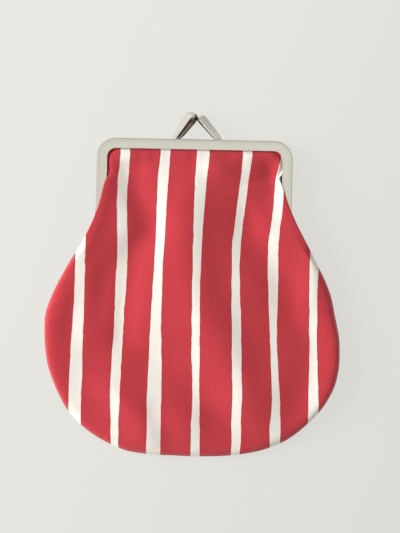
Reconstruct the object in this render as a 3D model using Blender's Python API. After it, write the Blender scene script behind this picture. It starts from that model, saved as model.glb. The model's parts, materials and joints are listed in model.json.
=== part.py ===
# Kiss lock coin purse, lying closed on its back.
# X runs across the purse, +Y towards the clasp, +Z up from the table.
# Two hinged channel frames grip a lined cloth pouch. The shapes are worked out with the middle of
# the frame's top edge at x = 0, y = 0, and height measured from the plane where the two frame
# halves meet. "Drop" is the distance down the purse from that top edge, so y = -drop.
import math

import bmesh
import bpy
import numpy as np

# Frame: two bent channels with their grooves facing the cloth
FRAME_WIDTH = 0.085
FRAME_CORNER = 0.0082
RIM_FACE = 0.0045
HALF_DEPTH = 0.0038
SHEET_METAL = 0.0006
EDGE_ROUND = 0.0008
LIP_ROUND = 0.0002
PARTING_GAP = 0.0003
FRAME_LIFT = 0.0014
CORNER_STEPS = 9
ROUND_STEPS = 4

# Ears at the feet of the arms, and the rivets through them
HINGE_DROP = 0.039
EAR_RADIUS = 0.0036
EAR_THICKNESS = 0.0008
EAR_PROUD = 0.0003
EAR_REACH = 0.009
EAR_LOW_EDGE = 0.00045
EAR_GAP = 0.0003
EAR_CLEARANCE = 0.0006
EAR_STEPS = 18
RIVET_RADIUS = 0.0009
RIVET_HOLE_GAP = 0.00025
RIVET_HEAD_RADIUS = 0.0017
RIVET_HEAD_HEIGHT = 0.0006
RIVET_SEAT_GAP = 0.0002
RIVET_SIDES = 20

# Clasp tabs: tapered channels, leaning past each other over the top rail
TAB_WALL = 0.00045
TAB_CORNER = 0.0003
TAB_SEAT_GAP = 0.0002
TAB_CROSSING = 0.0008
TENON_WIDTH = 0.0016
TENON_DEPTH = 0.0012
TENON_LENGTH = 0.0014
TENON_GAP = 0.0002
BACK_TAB_FOOT = 0.0079
BACK_TAB_NECK = 0.0017
BACK_TAB_HEIGHT = 0.0094
BACK_TAB_DOME = 0.0026
FRONT_TAB_FOOT = 0.0099
FRONT_TAB_NECK = 0.0032
FRONT_TAB_HEIGHT = 0.0086
FRONT_TAB_DOME = 0.0020
TAB_STEPS = 8
DOME_STEPS = 4
# Widths of a tab seen from the front, and the depths of its two flanges, at foot and neck
BACK_TAB_WIDTHS = (0.0027, 0.0054)
BACK_TAB_DEPTHS = (0.0026, 0.0048)
FRONT_TAB_WIDTHS = (0.0028, 0.0036)
FRONT_TAB_DEPTHS = (0.0024, 0.0044)
# Corners of the tab's section as shares of its width and depth: web corner, edge of the long
# flange, edge of the short flange, other web corner
BACK_TAB_SHARES = (((0.0, 0.54), (0.33, 1.0), (1.0, 0.27), (0.7, 0.0)),
                   ((0.0, 0.58), (0.56, 1.0), (1.0, 0.33), (0.63, 0.0)))
FRONT_TAB_SHARES = (((0.0, 0.54), (0.32, 1.0), (1.0, 0.25), (0.73, 0.0)),
                    ((0.0, 0.58), (0.6, 1.0), (1.0, 0.27), (0.78, 0.0)))
# Where the hollow starts and ends along a tab, and how far up the foot's bend reaches
TAB_CAVITY_SHARES = (0.1, 0.94)
TAB_BEND_SHARE = 1 / 3

# Pouch outline, in the plane of the purse: half width at a drop, and the pulls of its curves
BAG_DROP = 0.1374
BELLY_DROP = 0.088
BELLY_HALF_WIDTH = 0.0640
CROSSING_DROP = 0.0186
NECK_SPREAD = 0.0065
NECK_PULL = 0.026
BELLY_PULL = 0.026
LOW_BELLY_PULL = 0.042
BOTTOM_PULL = 0.028
SWAY = 0.0013
SWAY_START_DROP = 0.076
SWAY_END_DROP = 0.112

# Cloth and lining: thicknesses, and the gaps that keep the layers apart
CLOTH = 0.0006
LINING = 0.0004
LINING_GAP = 0.0005
CLOTH_GAP = 0.0003
GROOVE_GAP = 0.0002
HOVER_GAP = 0.0003

# How the pouch lies: its edge in the groove, its way out of it over the arm, and its seam
CROWN = 0.0124
CLOTH_EDGE_INSET = 0.0025
MOUTH_INSET = 0.0049
LEAVING_DROP = 0.0145
CLIMB_DROP = 0.0025
CLIMB_SHARE = 0.35
CLOSING_DROP = 0.0045
SEAM_HEIGHT = 0.0024
SEAM_SETTLE_DROP = 0.040
SEAM_HALF_GAP = 0.00015
EDGE_ROLL_INSET = 0.0006
EDGE_ROLL_HEIGHT = 0.0012
LINING_INSET = 0.0028
LINING_FOOT_INSET = 0.003
LINING_ROLL_HEIGHT = 0.0005
BACK_PRESS = 0.0018
SPINE_TOP_DROP = 0.028
SPINE_END_DROP = 0.100
CROWN_FALL_SHARE = 0.12
SWELL_POWER = 2.5
RING_SHARES = (0.07, 0.18, 0.34, 0.56, 0.8, 1.0)
RAIL_STEPS = 5
CLOTH_CORNER_STEPS = 5
OUTLINE_POINTS = 26
LINING_POINTS = 20
LINING_ARM_STEPS = 4
CURVE_STEPS = 80

# The front cloth and lining come in three lengths, so that the middle one can fold at the hinge
FOLD_ABOVE_HINGE = 0.008
FOLD_BELOW_HINGE = 0.0076
SPLIT_GAP = 0.0003

# Paper cords in the grooves, and the two rows of stitching
CORD_THICKNESS = 0.0007
CORD_INSETS = (0.0018, 0.0038)
CORD_ROUND = 0.0002
THREAD_RADIUS = 0.00025
OUTER_THREAD_INSET = 0.0012
LINING_THREAD_INSET = 0.0021
THREAD_POINTS = 26
THREAD_SIDES = 6

# Shared by all pieces: how far a cutter runs past what it cuts, how close two points are to be
# one, the angles in degrees of a crease and of the last ring of a dome
CUT_OVERRUN = 0.001
WELD = 0.000001
CREASE_ANGLE = 35
DOME_ANGLE = 80

# Levels that follow from the sizes above, measured from the parting plane
HALF_LOW = PARTING_GAP / 2
HALF_TOP = HALF_LOW + HALF_DEPTH
HALF_MIDDLE = (HALF_LOW + HALF_TOP) / 2
TABLE = -(HALF_TOP + FRAME_LIFT)
GROOVE_LEVEL = HALF_TOP - SHEET_METAL - GROOVE_GAP
HOVER_LEVEL = HALF_TOP + HOVER_GAP + CLOTH
ARM_FOOT_DROP = HINGE_DROP - EAR_RADIUS - EAR_CLEARANCE
HALF_WIDTH = FRAME_WIDTH / 2

NICKEL = (0.62, 0.61, 0.56)
RED_CLOTH = (0.60, 0.06, 0.08)
CREAM_LINING = (0.84, 0.80, 0.72)
PAPER = (0.80, 0.74, 0.60)
THREAD = (0.75, 0.62, 0.55)


def clear_scene():
    for obj in list(bpy.data.objects):
        bpy.data.objects.remove(obj, do_unlink=True)


def material(name, colour, roughness, metallic):
    made = bpy.data.materials.new(name)
    made.use_nodes = True
    shader = made.node_tree.nodes["Principled BSDF"]
    shader.inputs["Base Color"].default_value = (*colour, 1.0)
    shader.inputs["Roughness"].default_value = roughness
    shader.inputs["Metallic"].default_value = metallic
    return made


def solid(name, vertices, faces, look=None, parent=None):
    """A mesh object of a closed surface, with its faces turned outwards."""
    mesh = bpy.data.meshes.new(name)
    mesh.from_pydata([tuple(v) for v in vertices], [], faces)
    shape = bmesh.new()
    shape.from_mesh(mesh)
    bmesh.ops.remove_doubles(shape, verts=shape.verts, dist=WELD)
    bmesh.ops.recalc_face_normals(shape, faces=shape.faces)
    shape.to_mesh(mesh)
    shape.free()
    mesh.shade_smooth()
    mesh.set_sharp_from_angle(angle=math.radians(CREASE_ANGLE))
    obj = bpy.data.objects.new(name, mesh)
    bpy.context.scene.collection.objects.link(obj)
    obj.parent = parent
    if look:
        mesh.materials.append(look)
    else:
        obj.hide_render = True
        obj.display_type = "WIRE"
    return obj


def combine(obj, other, operation, solver="EXACT"):
    """Leaves a live Boolean on obj. The other object is a helper that isn't rendered."""
    cut = obj.modifiers.new(other.name, "BOOLEAN")
    cut.operation = operation
    cut.solver = solver
    cut.object = other


def loft(rings):
    """Faces that join closed rings of points in turn, with a cap on each end."""
    rings = np.array(rings)
    rows, count, _ = rings.shape
    faces = [
        (row * count + k, row * count + (k + 1) % count,
         (row + 1) * count + (k + 1) % count, (row + 1) * count + k)
        for row in range(rows - 1)
        for k in range(count)
    ]
    faces.append(tuple(range(count)))
    faces.append(tuple((rows - 1) * count + k for k in range(count)))
    return rings.reshape(-1, 3), faces


def box(name, low, high, parent):
    """A helper box between two corners."""
    (x0, y0, z0), (x1, y1, z1) = low, high
    rings = [[(x0, y0, z), (x1, y0, z), (x1, y1, z), (x0, y1, z)] for z in (z0, z1)]
    return solid(name, *loft(rings), parent=parent)


def arc(centre, radius, start, end, steps):
    """Points on an arc, angles in degrees."""
    angles = np.radians(np.linspace(start, end, steps + 1))
    return np.stack([centre[0] + radius * np.cos(angles), centre[1] + radius * np.sin(angles)], axis=1)


def smooth(share):
    share = np.clip(share, 0, 1)
    return share * share * (3 - 2 * share)


# The frame


def frame_path(foot_drop):
    """Points of the frame's outer edge from the left foot round to the right one, and the ways in."""
    centre = HALF_WIDTH - FRAME_CORNER
    left = arc((-centre, -FRAME_CORNER), FRAME_CORNER, 180, 90, CORNER_STEPS)
    right = arc((centre, -FRAME_CORNER), FRAME_CORNER, 90, 0, CORNER_STEPS)
    points = np.vstack([[(-HALF_WIDTH, -foot_drop)], left, right, [(HALF_WIDTH, -foot_drop)]])
    left_in = (np.array([(-centre, -FRAME_CORNER)]) - left) / FRAME_CORNER
    right_in = (np.array([(centre, -FRAME_CORNER)]) - right) / FRAME_CORNER
    ways = np.vstack([[(1, 0)], left_in, right_in, [(-1, 0)]])
    return points, ways


def sweep_frame(profile, foot_drop, side):
    """Carries a profile of (inset, height) round the frame. Side -1 turns it over for the back half."""
    points, ways = frame_path(foot_drop)
    rings = []
    for point, way in zip(points, ways):
        places = [(*(point + way * inset), height) for inset, height in profile]
        rings.append(np.array(places) * (side, 1, side))
    return loft(rings)


def channel_profile():
    """Section of one frame half: outer wall, front wall and parting wall round an open groove."""
    outer = arc((EDGE_ROUND, HALF_TOP - EDGE_ROUND), EDGE_ROUND, 180, 90, ROUND_STEPS)
    lip = arc((RIM_FACE - LIP_ROUND, HALF_TOP - LIP_ROUND), LIP_ROUND, 90, 0, 2)
    groove = [
        (RIM_FACE, HALF_TOP - SHEET_METAL),
        (SHEET_METAL, HALF_TOP - SHEET_METAL),
        (SHEET_METAL, HALF_LOW + SHEET_METAL),
        (RIM_FACE, HALF_LOW + SHEET_METAL),
        (RIM_FACE, HALF_LOW),
        (LIP_ROUND, HALF_LOW),
        (0, HALF_LOW + LIP_ROUND),
    ]
    return np.vstack([outer, lip, groove])


def ear_outline():
    """(distance up from the hinge axis, height): a disc on the axis with a tongue up into the arm."""
    low_angle = math.degrees(math.asin(EAR_LOW_EDGE / EAR_RADIUS))
    disc = arc((0, 0), EAR_RADIUS, low_angle, -270, EAR_STEPS)
    return np.vstack([[(EAR_REACH, EAR_RADIUS), (EAR_REACH, EAR_LOW_EDGE)], disc])


def ear(name, inner_x, side, parent):
    """One ear plate between inner_x and inner_x plus its thickness, away from the middle."""
    outline = ear_outline()
    way = math.copysign(EAR_THICKNESS, inner_x)
    rings = [
        [(x, -HINGE_DROP + up, height) for up, height in outline] for x in (inner_x, inner_x + way)
    ]
    return solid(name, *loft(np.array(rings) * (side, 1, side)), parent=parent)


def hinge_hole(name, parent):
    """A helper bar along the hinge axis, through both pairs of ears."""
    half_side = 180 / RIVET_SIDES
    hole_radius = RIVET_RADIUS + RIVET_HOLE_GAP
    circle = arc((-HINGE_DROP, 0), hole_radius, half_side, 360 + half_side, RIVET_SIDES)[:-1]
    reach = HALF_WIDTH + EAR_PROUD + CUT_OVERRUN
    rings = [[(x, y, z) for y, z in circle] for x in (-reach, reach)]
    return solid(name, *loft(rings), parent=parent)


def frame_half(name, side, tab_foot, look, parent):
    """A channel with an outer ear on one arm, an inner ear on the other and a slot for its tab."""
    obj = solid(name, *sweep_frame(channel_profile(), ARM_FOOT_DROP, side), look, parent)
    outer_face = HALF_WIDTH + EAR_PROUD - EAR_THICKNESS
    inner_face = outer_face - EAR_GAP - EAR_THICKNESS
    combine(obj, ear(name + "_outer_ear", -outer_face, side, parent), "UNION")
    combine(obj, ear(name + "_inner_ear", inner_face, side, parent), "UNION")
    combine(obj, hinge_hole(name + "_hinge_hole", parent), "DIFFERENCE")
    half_slot = TENON_WIDTH / 2 + TENON_GAP
    half_height = TENON_DEPTH / 2 + TENON_GAP
    slot = box(
        name + "_tab_slot",
        (side * tab_foot - half_slot, -SHEET_METAL - CUT_OVERRUN / 2, side * HALF_MIDDLE - half_height),
        (side * tab_foot + half_slot, CUT_OVERRUN, side * HALF_MIDDLE + half_height),
        parent,
    )
    combine(obj, slot, "DIFFERENCE")
    return obj


def rivet(name, side, look, parent):
    """A shaft along X through two ears, with a low domed head on each end."""
    outer_seat = HALF_WIDTH + EAR_PROUD + RIVET_SEAT_GAP
    ears = 2 * EAR_THICKNESS + EAR_GAP
    inner_seat = HALF_WIDTH + EAR_PROUD - ears - RIVET_SEAT_GAP
    dome = [(RIVET_HEAD_RADIUS * math.cos(turn), RIVET_HEAD_HEIGHT * math.sin(turn))
            for turn in np.radians(np.linspace(0, DOME_ANGLE, DOME_STEPS))]
    turned = [(inner_seat - height, radius) for radius, height in reversed(dome)]
    turned += [(inner_seat, RIVET_RADIUS), (outer_seat, RIVET_RADIUS)]
    turned += [(outer_seat + height, radius) for radius, height in dome]
    rings = []
    for along, radius in turned:
        circle = arc((-HINGE_DROP, 0), radius, 0, 360, RIVET_SIDES)[:-1]
        rings.append([(side * along, y, z) for y, z in circle])
    return solid(name, *loft(rings), look, parent)


# The clasp


def rounded(corners, radius):
    """The polygon with each corner replaced by three points of a curve."""
    made = []
    for k, corner in enumerate(corners):
        before = corners[k - 1] - corner
        after = corners[(k + 1) % len(corners)] - corner
        start = corner + before / np.linalg.norm(before) * radius
        end = corner + after / np.linalg.norm(after) * radius
        made += [start, (start + 2 * corner + end) / 4, end]
    return np.array(made)


def tab_cavity(corners):
    """The space inside a tab's three walls, open past the free edges of its two flanges."""
    web_start, long_edge, short_edge, web_end = corners
    web = (web_end - web_start) / np.linalg.norm(web_end - web_start)
    long_way = (long_edge - web_start) / np.linalg.norm(long_edge - web_start)
    short_way = (short_edge - web_end) / np.linalg.norm(short_edge - web_end)
    start = web_start + TAB_WALL * (web + long_way)
    end = web_end + TAB_WALL * (short_way - web)
    return np.array([start, long_edge + TAB_WALL * web + CUT_OVERRUN * long_way,
                     short_edge - TAB_WALL * web + CUT_OVERRUN * short_way, end])


def clasp_tab(name, side, foot, neck, height, dome, widths, depths, shares, look, parent):
    """A tapered channel leaning across the rail. It is worked out for the back half, side 1 here,
    and turned half round the purse's own upright axis for the front half."""
    run = foot - neck
    lean = math.atan2(run, height)
    foot_point = np.array((-foot, TAB_SEAT_GAP, -HALF_MIDDLE))
    neck_point = np.array((-neck, height, TAB_CROSSING))
    shares = np.array(shares)

    def place(share, section, grow=1.0, along=0.0):
        turn = lean * smooth(share / TAB_BEND_SHARE)
        across = np.array((math.cos(turn), -math.sin(turn), 0))
        centre = foot_point + (neck_point - foot_point) * share
        centre = centre + along * np.array((math.sin(lean), math.cos(lean), 0))
        points = [centre + across * p * grow + np.array((0, 0, q)) * grow for p, q in section]
        return np.array(points) * (side, 1, side)

    def corners(share):
        width = widths[0] + (widths[1] - widths[0]) * share
        depth = depths[0] + (depths[1] - depths[0]) * share
        mixed = shares[0] + (shares[1] - shares[0]) * share
        return (mixed - (1 / 2, 1 / 2)) * (width, depth)

    body = [place(s, rounded(corners(s), TAB_CORNER)) for s in np.linspace(0, 1, TAB_STEPS)]
    for step in range(1, DOME_STEPS + 1):
        turn = math.radians(DOME_ANGLE * step / DOME_STEPS)
        body.append(place(1, rounded(corners(1), TAB_CORNER), math.cos(turn), dome * math.sin(turn)))
    cavity = [place(s, tab_cavity(corners(s))) for s in np.linspace(*TAB_CAVITY_SHARES, TAB_STEPS)]
    obj = solid(name, *loft(body), look, parent)
    combine(obj, solid(name + "_hollow", *loft(cavity), parent=parent), "DIFFERENCE")
    tenon = box(
        name + "_tenon",
        (-side * foot - TENON_WIDTH / 2, -TENON_LENGTH, -side * HALF_MIDDLE - TENON_DEPTH / 2),
        (-side * foot + TENON_WIDTH / 2, TAB_SEAT_GAP + TAB_CORNER, -side * HALF_MIDDLE + TENON_DEPTH / 2),
        parent,
    )
    combine(obj, tenon, "UNION")
    return obj


# The pouch


def bezier(start, start_pull, end_pull, end):
    share = np.linspace(0, 1, CURVE_STEPS)[:, None]
    rest = 1 - share
    return (rest**3 * start + 3 * rest**2 * share * start_pull
            + 3 * rest * share**2 * end_pull + share**3 * end)


def side_outline():
    """(half width, drop) of the pouch from where it crosses the arm, over the belly, to the bottom."""
    crossing = np.array((HALF_WIDTH - RIM_FACE, CROSSING_DROP))
    belly = np.array((BELLY_HALF_WIDTH, BELLY_DROP))
    bottom = np.array((0, BAG_DROP))
    upper = bezier(crossing, crossing + (NECK_SPREAD, NECK_PULL), belly - (0, BELLY_PULL), belly)
    lower = bezier(belly, belly + (0, LOW_BELLY_PULL), bottom + (BOTTOM_PULL, 0), bottom)
    return np.vstack([upper, lower[1:]])


def spaced(points, count):
    """The polyline read again at even distances along it."""
    steps = np.linalg.norm(np.diff(points, axis=0), axis=1)
    along = np.concatenate([[0], np.cumsum(steps)])
    wanted = np.linspace(0, along[-1], count)
    return np.stack([np.interp(wanted, along, points[:, k]) for k in range(points.shape[1])], axis=1)


def outline_below(drop, count, inset=0.0):
    """Points of the outline from a drop down to the bottom, moved in by the inset, and the ways out."""
    points = side_outline()
    start = np.interp(drop, points[:, 1], points[:, 0])
    points = spaced(np.vstack([[(start, drop)], points[points[:, 1] > drop]]), count)
    along = np.gradient(points, axis=0)
    outward = np.stack([along[:, 1], -along[:, 0]], axis=1)
    outward = outward / np.linalg.norm(outward, axis=1)[:, None]
    outward[-1] = (0, 1)
    return points - outward * inset, outward


def seam_level(drop):
    """Height of the side seam: at the parting plane by the hinge, near the table lower down."""
    return (TABLE + SEAM_HEIGHT) * smooth((drop - HINGE_DROP) / SEAM_SETTLE_DROP)


def swayed(places):
    """The lower pouch lies a little to the right of the frame's middle."""
    shift = SWAY * smooth((places[..., 1] - SWAY_START_DROP) / (SWAY_END_DROP - SWAY_START_DROP))
    moved = places.copy()
    moved[..., 0] += shift
    return moved


def groove_edge(level, arm_drops):
    """Edge and mouth points of a cloth held in the groove, from the middle of the rail down an arm."""
    centre = HALF_WIDTH - FRAME_CORNER
    rows = []
    for x in np.linspace(0, centre, RAIL_STEPS)[:-1]:
        rows.append(((x, CLOTH_EDGE_INSET, level), (x, MOUTH_INSET, level)))
    for turn in np.radians(np.linspace(90, 0, CLOTH_CORNER_STEPS)):
        pair = []
        for inset in (CLOTH_EDGE_INSET, MOUTH_INSET):
            radius = FRAME_CORNER - inset
            pair.append((centre + radius * math.cos(turn), FRAME_CORNER - radius * math.sin(turn), level))
        rows.append(tuple(pair))
    for drop in arm_drops:
        rows.append(((HALF_WIDTH - CLOTH_EDGE_INSET, drop, level), (HALF_WIDTH - MOUTH_INSET, drop, level)))
    return rows


def outer_boundary(side):
    """Right half of the outer cloth's edge ring and the ring next to it, and each point's tilt."""
    rows = groove_edge(GROOVE_LEVEL, (LEAVING_DROP,))
    mouth = HALF_WIDTH - MOUTH_INSET
    step_in = MOUTH_INSET - CLOTH_EDGE_INSET
    climb_drop = CROSSING_DROP - CLIMB_DROP / 2
    between = (LEAVING_DROP + climb_drop) / 2
    edge_x = mouth + step_in / 2
    rows.append(((edge_x, between, GROOVE_LEVEL), (edge_x - step_in, between, GROOVE_LEVEL)))
    climbing = GROOVE_LEVEL + (HOVER_LEVEL - GROOVE_LEVEL) * CLIMB_SHARE
    rows.append(((mouth, climb_drop, GROOVE_LEVEL), (mouth - step_in, climb_drop, climbing)))
    top_drop = CROSSING_DROP + CLIMB_DROP / 2
    rows.append(((mouth, top_drop, HOVER_LEVEL), (mouth - step_in, top_drop, HOVER_LEVEL)))
    edge = np.array([row[0] for row in rows]) * (1, 1, side)
    inner = np.array([row[1] for row in rows]) * (1, 1, side)
    points, outward = outline_below(CROSSING_DROP + 2 * CLIMB_DROP, OUTLINE_POINTS)
    closed = smooth((points[:, 1] - HINGE_DROP - EAR_RADIUS) / CLOSING_DROP)
    seam = seam_level(points[:, 1])
    edge_level = side * HOVER_LEVEL * (1 - closed) + closed * (seam + side * SEAM_HALF_GAP)
    roll_level = side * HOVER_LEVEL * (1 - closed) + closed * (seam + side * EDGE_ROLL_HEIGHT)
    roll_inset = EDGE_ROLL_INSET * closed + step_in * (1 - closed)
    edge = np.vstack([edge, np.column_stack([points, edge_level])])
    inner = np.vstack([inner, np.column_stack([points - outward * roll_inset[:, None], roll_level])])
    return edge, inner, np.concatenate([np.zeros(len(rows)), closed])


def lining_boundary(side):
    """The same for the lining, which stays in the groove down to the foot of the arm."""
    level = GROOVE_LEVEL - CLOTH - CLOTH_GAP
    rows = groove_edge(level, np.linspace(LEAVING_DROP, ARM_FOOT_DROP, LINING_ARM_STEPS))
    foot = HALF_WIDTH - LINING_FOOT_INSET
    step_in = MOUTH_INSET - CLOTH_EDGE_INSET
    for drop in (HINGE_DROP, HINGE_DROP + EAR_RADIUS + EAR_CLEARANCE):
        rows.append(((foot, drop, level), (foot - step_in, drop, level)))
    edge = np.array([row[0] for row in rows]) * (1, 1, side)
    inner = np.array([row[1] for row in rows]) * (1, 1, side)
    points, outward = outline_below(HINGE_DROP + 2 * EAR_RADIUS + CLOSING_DROP, LINING_POINTS, LINING_INSET)
    seam = seam_level(points[:, 1])
    edge = np.vstack([edge, np.column_stack([points, seam + side * SEAM_HALF_GAP])])
    roll = points - outward * EDGE_ROLL_INSET
    inner = np.vstack([inner, np.column_stack([roll, seam + side * LINING_ROLL_HEIGHT])])
    return edge, inner, np.concatenate([np.zeros(len(rows)), np.ones(len(points))])


def both_sides(half):
    """Adds the mirrored left half, in order round the loop, without doubling the two middle points."""
    return np.vstack([half, half[-2:0:-1] * (-1, 1, 1)])


def pouch_wall(boundary, side, depth, thickness):
    """A sheet from its edge rings to a spine down the middle, swelling to the crown in front and
    pressed flat on the table behind. Returns the points and faces of the closed shell."""
    edge, inner, tilt = boundary(side)
    edge, inner = both_sides(edge), both_sides(inner)
    tilt = np.concatenate([tilt, tilt[-2:0:-1]])
    share = np.clip((edge[:, 1] - SPINE_TOP_DROP) / (SPINE_END_DROP - SPINE_TOP_DROP), 0, 1)
    spine_drop = SPINE_TOP_DROP + share * (SPINE_END_DROP - SPINE_TOP_DROP)
    if side > 0:
        level = (CROWN + TABLE) * (1 - CROWN_FALL_SHARE * (2 * share - 1) ** 2) - depth
    else:
        level = np.full(len(edge), TABLE - BACK_PRESS + depth)
    spine = np.column_stack([np.zeros(len(edge)), spine_drop, level])
    rings = [edge, inner]
    for ring_share in RING_SHARES:
        ring = inner + (spine - inner) * ring_share
        rise = 1 - (1 - ring_share) ** SWELL_POWER
        ring[:, 2] = inner[:, 2] + (spine[:, 2] - inner[:, 2]) * rise
        rings.append(ring)
    outer = np.array(rings)
    if side < 0:
        outer[..., 2] = np.maximum(outer[..., 2], TABLE + depth)
    outward = (edge - inner)[:, :2]
    outward = outward / np.linalg.norm(outward, axis=1)[:, None]
    inside = outer.copy()
    turns = [tilt * math.pi / 2, tilt * math.pi / 4] + [tilt * 0] * len(RING_SHARES)
    for ring, turn in zip(inside, turns):
        ring[:, :2] -= thickness * np.sin(turn)[:, None] * outward
        ring[:, 2] -= side * thickness * np.cos(turn)
    places = swayed(np.vstack([outer.reshape(-1, 3), inside.reshape(-1, 3)]))
    places[:, 1] *= -1
    rows, count = outer.shape[:2]
    faces = []
    for row in range(rows - 1):
        for k in range(count):
            a, b = row * count + k, row * count + (k + 1) % count
            c, d = b + count, a + count
            faces.append((a, b, c, d))
            faces.append(tuple(corner + rows * count for corner in (d, c, b, a)))
    for k in range(count):
        a, b = k, (k + 1) % count
        faces.append((b, a, a + rows * count, b + rows * count))
    return places, faces


def split_wall(name, boundary, depth, thickness, look, parents):
    """The front wall in three solids: above the hinge's fold, across it and below it."""
    fold_top = -(HINGE_DROP - FOLD_ABOVE_HINGE)
    fold_end = -(HINGE_DROP + FOLD_BELOW_HINGE)
    reach = BELLY_HALF_WIDTH + SWAY + CUT_OVERRUN
    spans = {
        "upper": (fold_top + SPLIT_GAP / 2, CUT_OVERRUN),
        "fold": (fold_end + SPLIT_GAP / 2, fold_top - SPLIT_GAP / 2),
        "lower": (-BAG_DROP - CUT_OVERRUN, fold_end - SPLIT_GAP / 2),
    }
    for part, (low, high) in spans.items():
        obj = solid(f"{name}_{part}", *pouch_wall(boundary, 1, depth, thickness), look, parents[part])
        keep = box(f"{name}_{part}_span", (-reach, low, TABLE), (reach, high, CROWN), parents[part])
        combine(obj, keep, "INTERSECT", "MANIFOLD")


def seam_thread(name, inset, look, parent):
    """A row of stitching drawn as one thread, along the seam from one side of the hinge to the other."""
    start = HINGE_DROP + EAR_RADIUS + CLOSING_DROP + EAR_CLEARANCE
    points, outward = outline_below(start, THREAD_POINTS, inset)
    half = np.column_stack([points, seam_level(points[:, 1])])
    path = np.vstack([half, half[-2::-1] * (-1, 1, 1)])
    ways = np.vstack([outward, outward[-2::-1] * (-1, 1)])
    rings = []
    for point, way in zip(path, ways):
        circle = arc((0, 0), THREAD_RADIUS, 0, 360, THREAD_SIDES)[:-1]
        rings.append([(point[0] + way[0] * u, point[1] + way[1] * u, point[2] + v) for u, v in circle])
    rings = swayed(np.array(rings)) * (1, -1, 1)
    return solid(name, *loft(rings), look, parent)


def paper_cord(name, side, look, parent):
    """A flattened cord that packs the groove on the parting side."""
    low = HALF_LOW + SHEET_METAL + GROOVE_GAP
    high = low + CORD_THICKNESS
    near, far = CORD_INSETS
    profile = [
        (near, low + CORD_ROUND), (near, high - CORD_ROUND), (near + CORD_ROUND, high),
        (far - CORD_ROUND, high), (far, high - CORD_ROUND), (far, low + CORD_ROUND),
        (far - CORD_ROUND, low), (near + CORD_ROUND, low),
    ]
    foot = HINGE_DROP - EAR_REACH - EAR_GAP
    return solid(name, *sweep_frame(profile, foot, side), look, parent)


def empty(name, place, parent=None):
    made = bpy.data.objects.new(name, None)
    made.location = place
    made.parent = parent
    bpy.context.scene.collection.objects.link(made)
    return made


def centre_on_table(purse):
    """Moves the whole purse so that the middle of its bounding box stands over the origin."""
    bpy.context.view_layer.update()
    graph = bpy.context.evaluated_depsgraph_get()
    places = []
    for obj in bpy.data.objects:
        if obj.type == "MESH" and not obj.hide_render:
            shape = obj.evaluated_get(graph)
            places += [shape.matrix_world @ vertex.co for vertex in shape.data.vertices]
    places = np.array(places)
    middle = (places.min(axis=0) + places.max(axis=0)) / 2
    purse.location.x -= middle[0]
    purse.location.y -= middle[1]


def main():
    clear_scene()
    nickel = material("satin_nickel", NICKEL, 0.3, 1.0)
    bright_nickel = material("bright_nickel", NICKEL, 0.15, 1.0)
    red_cloth = material("red_cloth", RED_CLOTH, 0.85, 0.0)
    cream_lining = material("cream_lining", CREAM_LINING, 0.9, 0.0)
    paper = material("paper", PAPER, 0.9, 0.0)
    thread = material("thread", THREAD, 0.8, 0.0)

    purse = empty("purse", (0, 0, -TABLE))
    hinge = empty("hinge_axis", (0, -HINGE_DROP, 0), purse)
    front = empty("front_half", (0, HINGE_DROP, 0), hinge)

    frame_half("front_frame", 1, FRONT_TAB_FOOT, nickel, front)
    frame_half("back_frame", -1, BACK_TAB_FOOT, nickel, purse)
    clasp_tab("front_clasp_tab", -1, FRONT_TAB_FOOT, FRONT_TAB_NECK, FRONT_TAB_HEIGHT, FRONT_TAB_DOME,
              FRONT_TAB_WIDTHS, FRONT_TAB_DEPTHS, FRONT_TAB_SHARES, bright_nickel, front)
    clasp_tab("back_clasp_tab", 1, BACK_TAB_FOOT, BACK_TAB_NECK, BACK_TAB_HEIGHT, BACK_TAB_DOME,
              BACK_TAB_WIDTHS, BACK_TAB_DEPTHS, BACK_TAB_SHARES, bright_nickel, purse)
    rivet("left_hinge_rivet", -1, bright_nickel, purse)
    rivet("right_hinge_rivet", 1, bright_nickel, purse)

    holders = {"upper": front, "fold": purse, "lower": purse}
    lining_depth = CLOTH + LINING_GAP
    split_wall("front_panel", outer_boundary, 0, CLOTH, red_cloth, holders)
    split_wall("front_lining", lining_boundary, lining_depth, LINING, cream_lining, holders)
    solid("back_panel", *pouch_wall(outer_boundary, -1, 0, CLOTH), red_cloth, purse)
    solid("back_lining", *pouch_wall(lining_boundary, -1, lining_depth, LINING), cream_lining, purse)
    paper_cord("front_paper_cord", 1, paper, front)
    paper_cord("back_paper_cord", -1, paper, purse)
    seam_thread("outer_seam_thread", OUTER_THREAD_INSET, thread, purse)
    seam_thread("lining_seam_thread", LINING_THREAD_INSET, thread, purse)
    centre_on_table(purse)


main()
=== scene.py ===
# Kiss lock coin purse: metal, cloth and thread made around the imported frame.
# Shapes are worked out in millimetres as (x, drop, height): x across the purse from its middle,
# drop down from the frame's top edge, height up from the plane where the two frame halves meet.
import json
import math

import bmesh
import bpy
import numpy as np

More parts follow.
